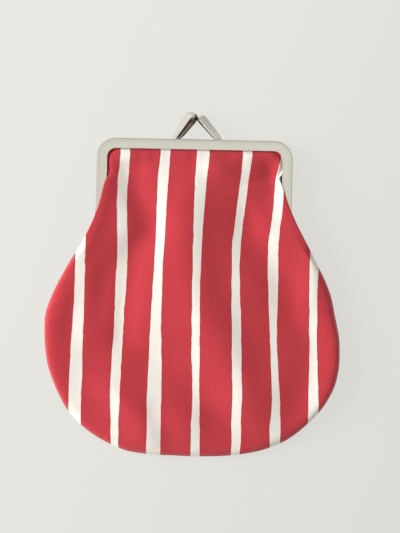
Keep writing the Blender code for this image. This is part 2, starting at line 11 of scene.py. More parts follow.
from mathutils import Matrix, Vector


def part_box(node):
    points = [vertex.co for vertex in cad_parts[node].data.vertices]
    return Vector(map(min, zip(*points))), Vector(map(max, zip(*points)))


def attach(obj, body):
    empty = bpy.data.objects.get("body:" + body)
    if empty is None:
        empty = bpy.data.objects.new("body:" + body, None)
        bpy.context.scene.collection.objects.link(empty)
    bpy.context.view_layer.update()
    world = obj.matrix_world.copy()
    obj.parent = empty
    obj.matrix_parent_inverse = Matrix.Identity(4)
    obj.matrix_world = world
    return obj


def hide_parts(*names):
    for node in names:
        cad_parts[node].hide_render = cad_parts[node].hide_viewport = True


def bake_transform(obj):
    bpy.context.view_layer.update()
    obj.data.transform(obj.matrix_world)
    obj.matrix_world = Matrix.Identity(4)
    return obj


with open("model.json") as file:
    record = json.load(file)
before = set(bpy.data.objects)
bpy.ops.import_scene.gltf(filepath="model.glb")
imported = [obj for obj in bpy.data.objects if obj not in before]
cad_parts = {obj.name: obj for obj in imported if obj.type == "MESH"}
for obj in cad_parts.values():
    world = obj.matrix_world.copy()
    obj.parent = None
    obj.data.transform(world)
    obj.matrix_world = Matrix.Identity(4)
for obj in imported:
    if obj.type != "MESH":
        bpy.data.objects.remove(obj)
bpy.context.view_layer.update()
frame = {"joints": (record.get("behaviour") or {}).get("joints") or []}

mm = 0.001
mergeGap = 0.0005 * mm
hinge = np.array(frame["joints"][0]["pos_m"])
frameHigh = np.array(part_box("front_frame")[1])
panelLow, panelHigh = (np.array(corner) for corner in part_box("back_panel"))

# the driving sizes, all read from the frame
body = {
    "middleX": hinge[0],
    "topY": frameHigh[1],
    "partingZ": hinge[2],
    "halfWidth": (frameHigh[0] - hinge[0]) / mm,
    "halfTop": (frameHigh[2] - hinge[2]) / mm,
    "hingeDrop": (frameHigh[1] - hinge[1]) / mm,
    "table": -hinge[2] / mm,
    "bagDrop": (frameHigh[1] - panelLow[1]) / mm,
    "bellyHalf": (panelHigh[0] - panelLow[0]) / 2 / mm,
}
print("frame read:", {name: round(float(value), 4) for name, value in body.items()})


# Helpers


def toWorld(places):
    # (x, drop, height) in millimetres to metres in the shared frame
    origin = np.array((body["middleX"], body["topY"], body["partingZ"]))
    return origin + np.asarray(places, float) * (mm, -mm, mm)


def smooth(value, start, length):
    # an S curve, 3 share^2 - 2 share^3, from 0 at the start to 1 a length further on
    share = np.clip((value - start) / length, 0, 1)
    return share * share * (3 - 2 * share)


def unit(ways):
    # each vector divided by its length
    return ways / np.linalg.norm(ways, axis=-1, keepdims=True)


def fullTurn(count):
    # even angles round a circle
    return np.linspace(0, 2 * math.pi, count, endpoint=False)


def gridFaces(rings, columns, first=0):
    # each face joins a point, its neighbour round the ring, and the same two in the next ring
    row, column = np.mgrid[0:rings - 1, 0:columns]
    beside = (column + 1) % columns
    corners = [row * columns + column, row * columns + beside,
               (row + 1) * columns + beside, (row + 1) * columns + column]
    return (np.stack(corners, axis=-1).reshape(-1, 4) + first).tolist()


def tubeFaces(*tubes):
    # tubes of closed rings one after another, each with a flat face over its two ends
    faces, first = [], 0
    for rings, columns in tubes:
        end = np.arange(columns) + first
        faces += gridFaces(rings, columns, first)
        faces += [end[::-1].tolist(), (end + (rings - 1) * columns).tolist()]
        first += rings * columns
    return faces


def addObject(name, data):
    # puts a mesh, a lamp or a camera into the scene
    made = bpy.data.objects.new(name, data)
    bpy.context.scene.collection.objects.link(made)
    return made


def addMesh(name, places, faces, look, sharp=35.0, solid=True, masks=None):
    # puts points and faces into a mesh, merges doubles, turns closed shells outwards, shades it smooth
    mesh = bpy.data.meshes.new(name)
    mesh.from_pydata(toWorld(places).reshape(-1, 3).tolist(), [], faces)
    for maskName, values in (masks or {}).items():
        layer = mesh.attributes.new(maskName, "FLOAT", "POINT")
        layer.data.foreach_set("value", np.asarray(values, np.float32).reshape(-1))
    shape = bmesh.new()
    shape.from_mesh(mesh)
    bmesh.ops.remove_doubles(shape, verts=shape.verts, dist=mergeGap)
    if solid:
        bmesh.ops.recalc_face_normals(shape, faces=shape.faces)
    shape.to_mesh(mesh)
    shape.free()
    mesh.shade_smooth()
    mesh.set_sharp_from_angle(angle=math.radians(sharp))
    mesh.materials.append(look)
    return addObject(name, mesh)


def alongOf(points):
    # running length of a polyline
    return np.concatenate([[0], np.cumsum(np.linalg.norm(np.diff(points, axis=0), axis=1))])


def spaced(table, step, length):
    # a table of columns read again at even steps along a running length
    count = max(int(round((length[-1] - length[0]) / step)), 2) + 1
    wanted = np.linspace(length[0], length[-1], count)
    return np.stack([np.interp(wanted, length, column) for column in table.T], axis=1)


def softened(table, passes):
    # each row moves towards the mean of its two neighbours, and the ends stay
    table = table.copy()
    for _ in range(passes):
        table[1:-1] = (table[:-2] + 2 * table[1:-1] + table[2:]) / 4
    return table


# Shader helpers


def feed(tree, node, inputs):
    # gives a node's inputs their values: other nodes' sockets, numbers, vectors, colours without alpha
    for name, value in inputs.items():
        socket = node.inputs[name]
        if isinstance(value, bpy.types.NodeSocket):
            tree.links.new(value, socket)
        elif socket.type == "RGBA":
            socket.default_value = (*value, 1.0)
        else:
            socket.default_value = value


def addNode(tree, kind, inputs=None, **settings):
    # a shader node with its settings and its inputs
    node = tree.nodes.new("ShaderNode" + kind)
    for name, value in settings.items():
        setattr(node, name, value)
    feed(tree, node, inputs or {})
    return node


def addMath(tree, operation, *values, clamp=False):
    # a Math node on numbers or sockets, and its output
    return addNode(tree, "Math", dict(enumerate(values)), operation=operation, use_clamp=clamp).outputs[0]


def scaled(tree, value, factor, offset=0.0, clamp=False):
    # value * factor + offset
    return addMath(tree, "MULTIPLY_ADD", value, factor, offset, clamp=clamp)


def ramp(tree, value, start, end):
    # 0 at the start and 1 at the end, straight between them
    return scaled(tree, value, 1 / (end - start), -start / (end - start), clamp=True)


def addMix(tree, factor, first, second, blend="MIX"):
    # a colour Mix node, and its output
    inputs = {0: factor, 6: first, 7: second}
    return addNode(tree, "Mix", inputs, data_type="RGBA", blend_type=blend).outputs[2]


def stretched(tree, vector, scale):
    # a vector with each of its axes scaled
    return addNode(tree, "Mapping", {"Vector": vector, "Scale": scale}).outputs[0]


def addNoise(tree, vector, scale, detail, roughness):
    # a noise node, and its output
    inputs = {"Vector": vector, "Scale": scale, "Detail": detail, "Roughness": roughness}
    return addNode(tree, "TexNoise", inputs).outputs[0]


def drawnNoise(tree, vector, across, down, detail, roughness):
    # noise with its own scale across and down the cloth
    return addNoise(tree, stretched(tree, vector, (across, down, 1.0)), 1.0, detail, roughness)


def speckNoise(tree, vector, size, detail, roughness):
    # noise whose specks have a size in millimetres
    return addNoise(tree, vector, addMath(tree, "DIVIDE", 1.0, size), detail, roughness)


def newGroup(name, values, results):
    # a shader group: it takes a vector and named numbers, and gives named numbers
    group = bpy.data.node_groups.new(name, "ShaderNodeTree")
    group.interface.new_socket("Vector", in_out="INPUT", socket_type="NodeSocketVector")
    for label, value in values.items():
        socket = group.interface.new_socket(label, in_out="INPUT", socket_type="NodeSocketFloat")
        socket.default_value = value
    for label in results:
        group.interface.new_socket(label, in_out="OUTPUT", socket_type="NodeSocketFloat")
    return group, group.nodes.new("NodeGroupInput").outputs, group.nodes.new("NodeGroupOutput")


def useGroup(tree, group, inputs):
    # a shader group at work in a tree, and its outputs
    return addNode(tree, "Group", inputs, node_tree=group).outputs


# noises: scale across and down the cloth, detail, roughness
clothNoises = {
    "line": (0.059, 0.016, 1.0, 0.5),
    "width": (0.059, 0.028, 1.5, 0.5),
    "brush": (0.16, 0.10, 4.0, 0.55),
    "streak": (1.7, 0.09, 3.0, 0.65),
    "wash": (0.07, 0.05, 2.0, 0.5),
    "speck": (1.6, 1.3, 2.0, 0.5),
}
plainStreak = (1.2, 0.08, 3.0, 0.5)
slubNoise = (2.2, 0.18, 2.0, 0.5)
# detail and roughness alone
rubNoise, grainNoise, smearNoise, fibreNoise = (4.0, 0.6), (2.0, 0.55), (3.0, 0.55), (4.0, 0.6)
rubBreak = (1.6, -0.35)


def weaveGroup():
    # Plain weave: two sine rows of threads at right angles, and a checker that takes them in turn.
    # Vector is in millimetres on the cut cloth. Slubs thicken a thread here and there.
    group, given, end = newGroup("plainWeave", {"Thread Pitch": 0.5, "Slubs": 0.3}, ("Height", "Shade"))
    split = addNode(group, "SeparateXYZ", {0: given["Vector"]}).outputs
    turn = addMath(group, "DIVIDE", math.pi, given["Thread Pitch"])
    ways = [addMath(group, "MULTIPLY", split[axis], turn) for axis in (0, 1)]
    warp, weft = (addMath(group, "ABSOLUTE", addMath(group, "SINE", way)) for way in ways)
    sign = addMath(group, "MULTIPLY", *(addMath(group, "COSINE", way) for way in ways))
    over = addNode(group, "Mix", {0: scaled(group, sign, 0.5, 0.5), 2: weft, 3: warp}).outputs[0]
    slub = drawnNoise(group, given["Vector"], *slubNoise)
    slubs = addMath(group, "MULTIPLY", addMath(group, "SUBTRACT", slub, 0.5), given["Slubs"])
    height = addMath(group, "ADD", over, slubs)
    # Shade is lowest between the threads, for the painted shade there
    feed(group, end, {"Height": height, "Shade": scaled(group, height, 0.5, 0.25, clamp=True)})
    return group


def rubGroup():
    # Rub marks: a mask that is painted on the edges when a piece is made, broken up by noise.
    group, given, end = newGroup("edgeRub", {"Edge Mask": 0.0, "Speck Size": 0.6, "Amount": 0.7}, ("Mask",))
    noise = speckNoise(group, given["Vector"], given["Speck Size"], *rubNoise)
    broken = scaled(group, noise, *rubBreak, clamp=True)
    strength = addMath(group, "MULTIPLY", given["Edge Mask"], given["Amount"])
    feed(group, end, {"Mask": addMath(group, "MULTIPLY", broken, strength, clamp=True)})
    return group


def grainGroup():
    # Satin grain and handling marks: fine noise for the grain, wide soft noise for finger smears.
    group, given, end = newGroup("satinGrain", {"Grain Size": 0.12, "Smear Size": 9.0}, ("Grain", "Smear"))
    for label, noise in (("Grain", grainNoise), ("Smear", smearNoise)):
        feed(group, end, {label: speckNoise(group, given["Vector"], given[label + " Size"], *noise)})
    return group


weave, rub, grain = weaveGroup(), rubGroup(), grainGroup()


def newMaterial(name, inputs):
    # a material, its node tree and its main shader
    made = bpy.data.materials.new(name)
    made.use_nodes = True
    tree = made.node_tree
    shader = tree.nodes["Principled BSDF"]
    feed(tree, shader, inputs)
    return made, tree, shader


def objectMillimetres(tree):
    # object coordinates scaled to millimetres
    place = addNode(tree, "TexCoord").outputs["Object"]
    return stretched(tree, place, (1 / mm, 1 / mm, 1 / mm))


def addBump(tree, height, distance):
    # distance is the real height of the bump in millimetres
    return addNode(tree, "Bump", {"Height": height, "Strength": 1.0, "Distance": distance * mm}).outputs[0]


# Metal

nickel = {
    # each finish's darkest colour is painted shade, laid where a piece's shade mask says
    "frame": {"colour": (0.745, 0.73, 0.65), "rubbed": (0.86, 0.84, 0.77), "paintedShade": (0.2, 0.18, 0.15),
              "roughness": 0.32, "grain": 0.14},
    "clasp": {"colour": (0.82, 0.805, 0.745), "rubbed": (0.92, 0.905, 0.86), "paintedShade": (0.10, 0.068, 0.052),
              "roughness": 0.20, "grain": 0.10},
    "smear": 9.0,
    "smearShade": 0.93,
    "smearSpan": 0.14,
    "grainSpan": 0.10,
    "grainHeight": 0.004,
    "speck": 0.7,
    "rubAmount": 0.75,
    "rubShine": 0.1,
}
# the tabs' hollow: its dark brown colours are painted shade
hollow = {"light": (0.42, 0.27, 0.21), "dark": (0.22, 0.14, 0.11), "roughness": 0.55, "metallic": 0.1,
          "grain": 0.3, "smear": 2.5, "grainHeight": 0.02}


def nickelMaterial(name, values):
    # satin nickel plate: base colour brighter where edges are rubbed, and darkened by painted shade along the
    # rail's outer edge and where the tabs meet; roughness from grain and smears
    made, tree, shader = newMaterial(name, {"Metallic": 1.0})
    vector = objectMillimetres(tree)
    marks = useGroup(tree, grain, {
        "Vector": vector, "Grain Size": values["grain"], "Smear Size": nickel["smear"]})
    # the second mask is painted shade: it darkens the plate towards the finish's painted shade colour
    edges, paintedShade = (addNode(tree, "Attribute", attribute_name=mask).outputs["Fac"]
                  for mask in ("rubMask", "paintedShadeMask"))
    worn = useGroup(tree, rub, {"Vector": vector, "Edge Mask": edges, "Speck Size": nickel["speck"],
                                "Amount": nickel["rubAmount"]})["Mask"]
    smeared = tuple(part * nickel["smearShade"] for part in values["colour"])
    plated = addMix(tree, worn, addMix(tree, marks["Smear"], values["colour"], smeared), values["rubbed"])
    varied = scaled(tree, marks["Smear"], nickel["smearSpan"], values["roughness"] - nickel["smearSpan"] / 2)
    varied = scaled(tree, marks["Grain"], nickel["grainSpan"], varied)
    feed(tree, shader, {
        "Base Color": addMix(tree, paintedShade, plated, values["paintedShade"]),
        "Roughness": scaled(tree, worn, -nickel["rubShine"], varied),
        "Normal": addBump(tree, marks["Grain"], nickel["grainHeight"]),
    })
    return made


def hollowMaterial():
    # the unpolished inside of the clasp tabs, painted dark brown as painted shade for a hollow that reflects
    # little light
    made, tree, shader = newMaterial("clasp_hollow", {
        "Roughness": hollow["roughness"], "Metallic": hollow["metallic"]})
    marks = useGroup(tree, grain, {
        "Vector": objectMillimetres(tree), "Grain Size": hollow["grain"], "Smear Size": hollow["smear"]})
    feed(tree, shader, {
        "Base Color": addMix(tree, marks["Smear"], hollow["light"], hollow["dark"]),
        "Normal": addBump(tree, marks["Grain"], hollow["grainHeight"]),
    })
    return made


# Cloth, paper and thread

cloth = {
    "red": (0.60, 0.055, 0.073),
    "deepRed": (0.495, 0.039, 0.050),
    "fringe": (0.40, 0.022, 0.032),
    "cream": (0.93, 0.835, 0.745),
    "coolCream": (0.895, 0.885, 0.81),
    # painted shade between the threads, as a colour the cloth is multiplied by
    "paintedThreadShade": (0.55, 0.55, 0.55),
    "stripePitch": 17.0,
    "stripeStart": 1.7,
    "widthSway": 0.3,
    "lineSway": 0.4,
    "brushSway": 0.6,
    "edgeBlur": 0.22,
    "threadPitch": 0.5,
    "threadHeight": 0.05,
    "slubs": 0.35,
    "uvSize": 160.0,
}
# how strongly each part of the print follows what drives it: a factor and an offset
printing = {
    "fringe": (-0.45, 0.8),
    "redWash": (0.7, -0.85),
    "redStreak": 0.8,
    "coolWash": (1.6, -0.3),
    "thinStreak": (-0.3, 1.15),
    "threadShade": (-0.3, 0.3),
    "threadRoughness": (-0.08, 0.86),
}
plain = {"colour": (0.80, 0.755, 0.67), "deep": (0.70, 0.65, 0.56), "paintedThreadShade": (0.6, 0.57, 0.5),
         "threadPitch": 0.45, "threadHeight": 0.04, "slubs": 0.5}
fibres = {
    "twisted_paper": {"colour": (0.76, 0.69, 0.55), "deep": (0.60, 0.52, 0.39), "roughness": 0.9,
                      "size": 0.5, "height": 0.03},
    "sewing_thread": {"colour": (0.70, 0.56, 0.50), "deep": (0.52, 0.38, 0.34), "roughness": 0.8,
                      "size": 0.15, "height": 0.02},
    "draw": 0.2,
}
# how far each stripe, from the left, stands right of its even place at seven drops, in millimetres
stripeDrops = (7, 17, 28, 44, 60, 80, 111)
stripeShifts = (
    (2.0, 1.5, 1.0, 0.8, 0.4, 0.15, -0.5),
    (2.0, 1.3, 0.9, 1.75, 1.7, 0.85, -0.1),
    (2.7, 2.0, 1.8, 1.2, 0.5, -0.25, -0.3),
    (1.4, 0.8, 0.5, 0.2, 0.0, 0.25, 1.0),
    (4.6, 3.3, 2.0, 0.2, 0.1, 0.7, 1.6),
    (3.1, 1.4, 0.8, -1.1, -0.7, -0.25, 1.8),
    (3.5, 1.0, 0.5, 0.1, -0.1, 0.2, 0.9),
)
# and how wide each one is printed at six drops
widthDrops = (6, 28, 60, 90, 107, 125)
stripeWidths = (
    (4.2, 3.8, 3.6, 5.0, 5.6, 5.6),
    (3.8, 4.2, 4.9, 4.2, 3.8, 2.7),
    (4.5, 4.4, 4.0, 5.4, 6.6, 6.4),
    (4.9, 4.6, 3.2, 3.3, 2.5, 3.3),
    (4.5, 3.7, 3.7, 4.3, 4.1, 3.9),
    (2.4, 4.4, 4.5, 2.9, 3.2, 5.1),
    (3.8, 3.8, 3.6, 3.2, 4.4, 4.4),
)


def clothVector(tree):
    # the piece's own map of the cut cloth, scaled back to millimetres
    size = cloth["uvSize"]
    return stretched(tree, addNode(tree, "UVMap", uv_map="clothCut").outputs[0], (size, size, size))


def woven(tree, vector, values, colour):
    # the height of the weave, and a colour darkened between its threads by painted shade
    threads = useGroup(tree, weave, {
        "Vector": vector, "Thread Pitch": values["threadPitch"], "Slubs": values["slubs"]})
    deeper = scaled(tree, threads["Shade"], *printing["threadShade"], clamp=True)
    return threads["Height"], addMix(tree, deeper, colour, values["paintedThreadShade"], "MULTIPLY")


def stripedCloth():
    # Printed cotton: cream stripes down a red ground. The distance to the nearest stripe's middle is
    # compared with half its width here, and both sway slowly down the cloth, with a little brush wobble.
    made, tree, shader = newMaterial("striped_cotton", {
        "Sheen Weight": 0.2, "Sheen Roughness": 0.5, "Specular IOR Level": 0.15})
    vector = clothVector(tree)
    line, width, brush, streak, wash, speck = (
        drawnNoise(tree, vector, *values) for values in clothNoises.values())
    swayed = scaled(tree, line, 2 * cloth["lineSway"], -cloth["lineSway"] - cloth["stripeStart"])
    across = addMath(tree, "ADD", addNode(tree, "SeparateXYZ", {0: vector}).outputs[0], swayed)
    distance = addMath(tree, "PINGPONG", addMath(tree, "ABSOLUTE", across), cloth["stripePitch"] / 2)
    swayed = scaled(tree, width, 2 * cloth["widthSway"], -cloth["widthSway"] - cloth["brushSway"])
    brushed = scaled(tree, brush, 2 * cloth["brushSway"], swayed)
    printed = addNode(tree, "Attribute", attribute_name="stripeWidth").outputs["Fac"]
    inside = addMath(tree, "SUBTRACT", scaled(tree, printed, 0.5, brushed), distance)
    edge = addMath(tree, "DIVIDE", inside, cloth["edgeBlur"])
    mask = addMath(tree, "ADD", edge, 0.5, clamp=True)
    beside = addMath(tree, "ABSOLUTE", addMath(tree, "ADD", edge, 1.0))
    fringe = addMath(tree, "MULTIPLY", scaled(tree, beside, *printing["fringe"], clamp=True), brush)

    redShare = scaled(tree, streak, printing["redStreak"], scaled(tree, wash, *printing["redWash"]))
    redShare = addMath(tree, "ADD", redShare, speck, clamp=True)
    red = addMix(tree, fringe, addMix(tree, redShare, cloth["deepRed"], cloth["red"]), cloth["fringe"])
    coolShare = scaled(tree, wash, *printing["coolWash"], clamp=True)
    cream = addMix(tree, coolShare, cloth["cream"], cloth["coolCream"])
    covered = addMath(tree, "MULTIPLY", mask, scaled(tree, streak, *printing["thinStreak"], clamp=True))
    height, shaded = woven(tree, vector, cloth, addMix(tree, covered, red, cream))
    feed(tree, shader, {
        "Base Color": shaded,
        "Roughness": scaled(tree, height, *printing["threadRoughness"]),
        "Normal": addBump(tree, height, cloth["threadHeight"]),
    })
    return made


def plainCloth():
    # undyed lining: plain weave with faint slub streaks
    made, tree, shader = newMaterial("lining_cotton", {
        "Roughness": 0.88, "Sheen Weight": 0.15, "Sheen Roughness": 0.5})
    vector = clothVector(tree)
    streak = drawnNoise(tree, vector, *plainStreak)
    height, shaded = woven(tree, vector, plain, addMix(tree, streak, plain["colour"], plain["deep"]))
    feed(tree, shader, {"Base Color": shaded, "Normal": addBump(tree, height, plain["threadHeight"])})
    return made


def fibreMaterial(name):
    # paper or thread: fine noise drawn out along the piece by its own map
    values = fibres[name]
    made, tree, shader = newMaterial(name, {
        "Roughness": values["roughness"], "Sheen Weight": 0.1, "Sheen Roughness": 0.5})
    across = 1 / values["size"]
    fibre = drawnNoise(tree, clothVector(tree), across, fibres["draw"] * across, *fibreNoise)
    feed(tree, shader, {"Base Color": addMix(tree, fibre, values["colour"], values["deep"]),
                        "Normal": addBump(tree, fibre, values["height"])})
    return made


frameNickel = nickelMaterial("frame_nickel", nickel["frame"])
claspNickel = nickelMaterial("clasp_nickel", nickel["clasp"])
claspHollow = hollowMaterial()
stripedCotton = stripedCloth()
liningCotton = plainCloth()
twistedPaper = fibreMaterial("twisted_paper")
sewingThread = fibreMaterial("sewing_thread")
print("materials ready:", len(bpy.data.materials))


# The frame halves

channel = {
    "corner": 8.2,
    "face": 4.5,
    "sheet": 0.6,
    "edgeRound": 0.8,
    "lipRound": 0.26,
    "crown": 0.15,
    "halfGap": 0.15,
    "wallBevel": (0.06, 0.2),
    "footGap": 0.6,
    "cornerSteps": 26,
    "roundSteps": 8,
    "faceSteps": 10,
    # painted shade on the rail: how dark the band and the rim are, and where each fades out
    "bandPaintedShade": 0.09,
    "bandInsets": (1.1, 2.1),
    "rimPaintedShade": 0.45,
    "rimInsets": (0.1, 0.65),
    "cornerPaintedShade": 0.6,
}
ears = {"radius": 3.6, "thickness": 0.8, "proud": 0.3, "reach": 9.0, "lowEdge": 0.45, "gap": 0.3,
        "bevel": 0.16, "steps": 44, "rub": 0.3}
earSeat = body["halfWidth"] + ears["proud"]
armFoot = body["hingeDrop"] - ears["radius"] - channel["footGap"]


def arc(centre, radius, start, end, steps):
    # points on an arc, angles in degrees
    angles = np.radians(np.linspace(start, end, steps + 1))
    return np.stack([centre[0] + radius * np.cos(angles), centre[1] + radius * np.sin(angles)], axis=1)


def railPath(footDrop):
    # (x, drop) round the frame's outer edge from the left foot to the right one, and the ways in
    corner, half = channel["corner"], body["halfWidth"]
    points, ways = [[(-half, -footDrop)]], [[(1, 0)]]
    for middle, start, end in ((corner - half, 180, 90), (half - corner, 90, 0)):
        bend = arc((middle, -corner), corner, start, end, channel["cornerSteps"])
        points.append(bend)
        ways.append((np.array([(middle, -corner)]) - bend) / corner)
    points.append([(half, -footDrop)])
    ways.append([(-1, 0)])
    return np.vstack(points) * (1, -1), np.vstack(ways) * (1, -1)


def channelProfile():
    # (inset, height, rub) round one half's section: rolled outer edge, slightly crowned face, rounded
    # lip, then the groove and the parting wall
    edge, lip, face, sheet = (channel[name] for name in ("edgeRound", "lipRound", "face", "sheet"))
    top, crown, low = body["halfTop"], channel["crown"], channel["halfGap"]
    near, far = channel["wallBevel"]
    under = top - crown - sheet
    outer = arc((edge, top - crown - edge), edge, 180, 90, channel["roundSteps"])
    share = np.linspace(0, 1, channel["faceSteps"])[1:-1]
    crowned = np.stack([edge + (face - lip - edge) * share, top - crown * (2 * share - 1) ** 2], axis=1)
    lipArc = arc((face - lip, top - crown - lip), lip, 90, 0, channel["roundSteps"])
    groove = [(face, under), (sheet, under), (sheet, low + sheet), (face, low + sheet),
              (face, low), (far, low), (near, low + near), (0, low + far)]
    hump = np.sin(np.linspace(0, math.pi, len(outer)))
    rubbed = np.concatenate([hump, np.zeros(len(crowned)), hump, np.zeros(len(groove))])
    return np.column_stack([np.vstack([outer, crowned, lipArc, groove]), rubbed])


def fading(inset, part):
    # full painted shade up to the part's first inset, none past its second
    start, end = channel[part + "Insets"]
    return channel[part + "PaintedShade"] * (1 - smooth(inset, start, end - start))


def railPaintedShade(profile, ways, side):
    # Painted shade standing in for dark reflections: a band along the rail's outer edge, and the rolled rim
    # itself where it faces right and round the far left corner. Only the upper half of the section has them.
    wayX, wayDrop = ways[:, 0] * side, ways[:, 1]
    facing = np.clip(-wayX, 0, 1) + channel["cornerPaintedShade"] * np.clip(2 * wayX * wayDrop, 0, 1)
    paintedShading = fading(profile[:, 0], "band") + facing[:, None] * fading(profile[:, 0], "rim")
    return paintedShading * (profile[:, 1] > body["halfTop"] / 2)


def swept(points, ways, inset, height, side):
    # each point of a path moved in by every inset at its height, and turned over for the back half
    plan = points[:, None] + ways[:, None] * inset[..., None]
    height = np.broadcast_to(height, plan.shape[:2])
    return np.stack([plan[..., 0] * side, plan[..., 1], height * side], axis=-1)


def earPlate(innerX, side):
    # a disc on the hinge axis with a tongue up into the arm, its outline drawn in at both faces
    radius, bevel, thickness = ears["radius"], ears["bevel"], ears["thickness"]
    lowAngle = math.degrees(math.asin(ears["lowEdge"] / radius))
    disc = arc((0, 0), radius, lowAngle, -270, ears["steps"])
    outline = np.vstack([[(ears["reach"], radius), (ears["reach"], ears["lowEdge"])], disc])
    toward = np.roll(outline, -1, axis=0) - np.roll(outline, 1, axis=0)
    inward = unit(np.stack([toward[:, 1], -toward[:, 0]], axis=1))
    inward *= np.sign(np.sum(inward * (outline.mean(axis=0) - outline), axis=1))[:, None]
    rings = []
    for depth, inset in ((0, bevel), (bevel, 0), (thickness - bevel, 0), (thickness, bevel)):
        moved = outline + inward * inset
        x = np.full(len(moved), innerX + math.copysign(depth, innerX))
        rings.append(np.stack([x * side, body["hingeDrop"] - moved[:, 0], moved[:, 1] * side], axis=1))
    return np.array(rings)


def frameHalf(name, side, node, ridden):
    # the swept channel with its outer ear on one arm and its inner ear on the other
    profile = channelProfile()
    points, ways = railPath(armFoot)
    shells = [swept(points, ways, profile[None, :, 0], profile[:, 1], side),
              earPlate(ears["thickness"] - earSeat, side),
              earPlate(earSeat - ears["gap"] - 2 * ears["thickness"], side)]
    places = np.vstack([shell.reshape(-1, 3) for shell in shells])
    onRail = len(points) * len(profile)
    rubbed, paintedShading = np.full(len(places), ears["rub"]), np.zeros(len(places))
    rubbed[:onRail] = np.tile(profile[:, 2], len(points))
    paintedShading[:onRail] = railPaintedShade(profile, ways, side).reshape(-1)
    made = addMesh(name, places, tubeFaces(*(shell.shape[:2] for shell in shells)), frameNickel,
                   masks={"rubMask": rubbed, "paintedShadeMask": paintedShading})
    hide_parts(node)
    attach(made, ridden)


frameHalf("front_rail", 1, "front_frame", "front_half")
frameHalf("back_rail", -1, "back_frame", "back_half")


# The rivets

rivet = {"shaft": 0.9, "head": 1.7, "headHeight": 0.6, "shoulder": 0.22, "domePower": 0.8, "seatGap": 0.02,
         "rub": 0.8, "sides": 40, "steps": 12}


def hingeRivet(name, side, node):
    # a profile of (along, radius) turned about the hinge axis: domed head, shaft, domed head
    outerSeat = earSeat + rivet["seatGap"]
    innerSeat = earSeat - 2 * ears["thickness"] - ears["gap"] - rivet["seatGap"]
    turn = np.linspace(0, math.pi / 2, rivet["steps"])
    rise = rivet["headHeight"] * (rivet["shoulder"] + (1 - rivet["shoulder"]) * np.sin(turn))
    rise[0] = 0
    radius = rivet["head"] * np.cos(turn) ** rivet["domePower"]
    radius[-1] = 0
    along = np.concatenate([(innerSeat - rise)[::-1], [innerSeat, outerSeat], outerSeat + rise])[:, None]
    radii = np.concatenate([radius[::-1], [rivet["shaft"], rivet["shaft"]], radius])[:, None]
    angle = fullTurn(rivet["sides"])
    places = np.stack(np.broadcast_arrays(side * along, body["hingeDrop"] + radii * np.cos(angle),
                                          radii * np.sin(angle)), axis=-1)
    rings, sides = places.shape[:2]
    mask = rivet["rub"] * np.sin(np.linspace(0, math.pi, rings)) ** 2
    made = addMesh(name, places, gridFaces(rings, sides), claspNickel,
                   masks={"rubMask": np.repeat(mask, sides)})
    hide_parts(node)
    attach(made, "back_half")


hingeRivet("left_rivet", -1, "left_hinge_rivet")
hingeRivet("right_rivet", 1, "right_hinge_rivet")
print("frame halves and rivets made")


# The clasp: two tapered channels that lean past each other over the rail

clasp = {
    "wall": 0.45,
    "cornerRound": 0.45,
    "roundSteps": 5,
    "footDrop": 0.1,
    "crossing": 0.8,
    "bendShare": 1 / 3,
    "cavity": (0.1, 0.94),
    "cavityRound": 0.25,
    "cavitySteps": 4,
    "steps": 40,
    "domeSteps": 12,
    "domeAngle": 86.0,
    "edgeBevel": 0.10,
    "bevelAngle": 50,
    "rub": 0.45,
    "paintedShadeFrom": 0.8,
    "paintedShadeColumns": (10, 17),
}
# A tab's widths and depths are at its foot and its neck. Its shares are the corners of its section at
# both: web, long flange, short flange, web. Painted shade darkens the last columns of the section.
backTab = {
    "side": 1, "foot": 7.9, "neck": 1.55, "height": 9.4, "dome": 2.5,
    "widths": (2.7, 5.4), "depths": (2.6, 4.8),
    "shares": (((-0.36, 0.50), (0.25, 1.0), (0.80, 0.42), (1.0, 0.0)),
               ((-0.14, 0.52), (0.36, 1.0), (0.80, 0.46), (0.98, 0.04))),
    "paintedShade": (0, 0.5, 0.9, 1, 1, 1, 1, 0.7, 0.3, 0),
}
frontTab = {
    "side": -1, "foot": 9.9, "neck": 2.6, "height": 8.6, "dome": 2.0,
    "widths": (2.8, 3.6), "depths": (2.4, 4.4),
    "shares": (((-0.28, 0.58), (0.36, 1.0), (1.0, 0.25), (0.70, 0.0)),
               ((-0.24, 0.62), (0.46, 1.0), (1.0, 0.27), (0.76, 0.0))),
    "paintedShade": (1, 1, 1, 1, 1, 0.6, 0.3, 0, 0, 0),
}


def roundedSection(corners, radius, steps):
    # each corner of the polygon becomes a short quadratic curve
    start = corners + unit(np.roll(corners, 1, axis=0) - corners) * radius
    end = corners + unit(np.roll(corners, -1, axis=0) - corners) * radius
    share = np.linspace(0, 1, steps)[None, :, None]
    curve = (1 - share) ** 2 * start[:, None] + share**2 * end[:, None]
    return (curve + 2 * share * (1 - share) * corners[:, None]).reshape(-1, 2)


def tabCavity(corners):
    # the space inside a tab's three walls, open past the free edges of its two flanges
    wall = clasp["wall"]
    webStart, longEdge, shortEdge, webEnd = corners
    web, longWay, shortWay = unit(webEnd - webStart), unit(longEdge - webStart), unit(shortEdge - webEnd)
    return np.array([webStart + wall * (web + longWay), longEdge + wall * web + longWay,
                     shortEdge - wall * web + shortWay, webEnd + wall * (shortWay - web)])


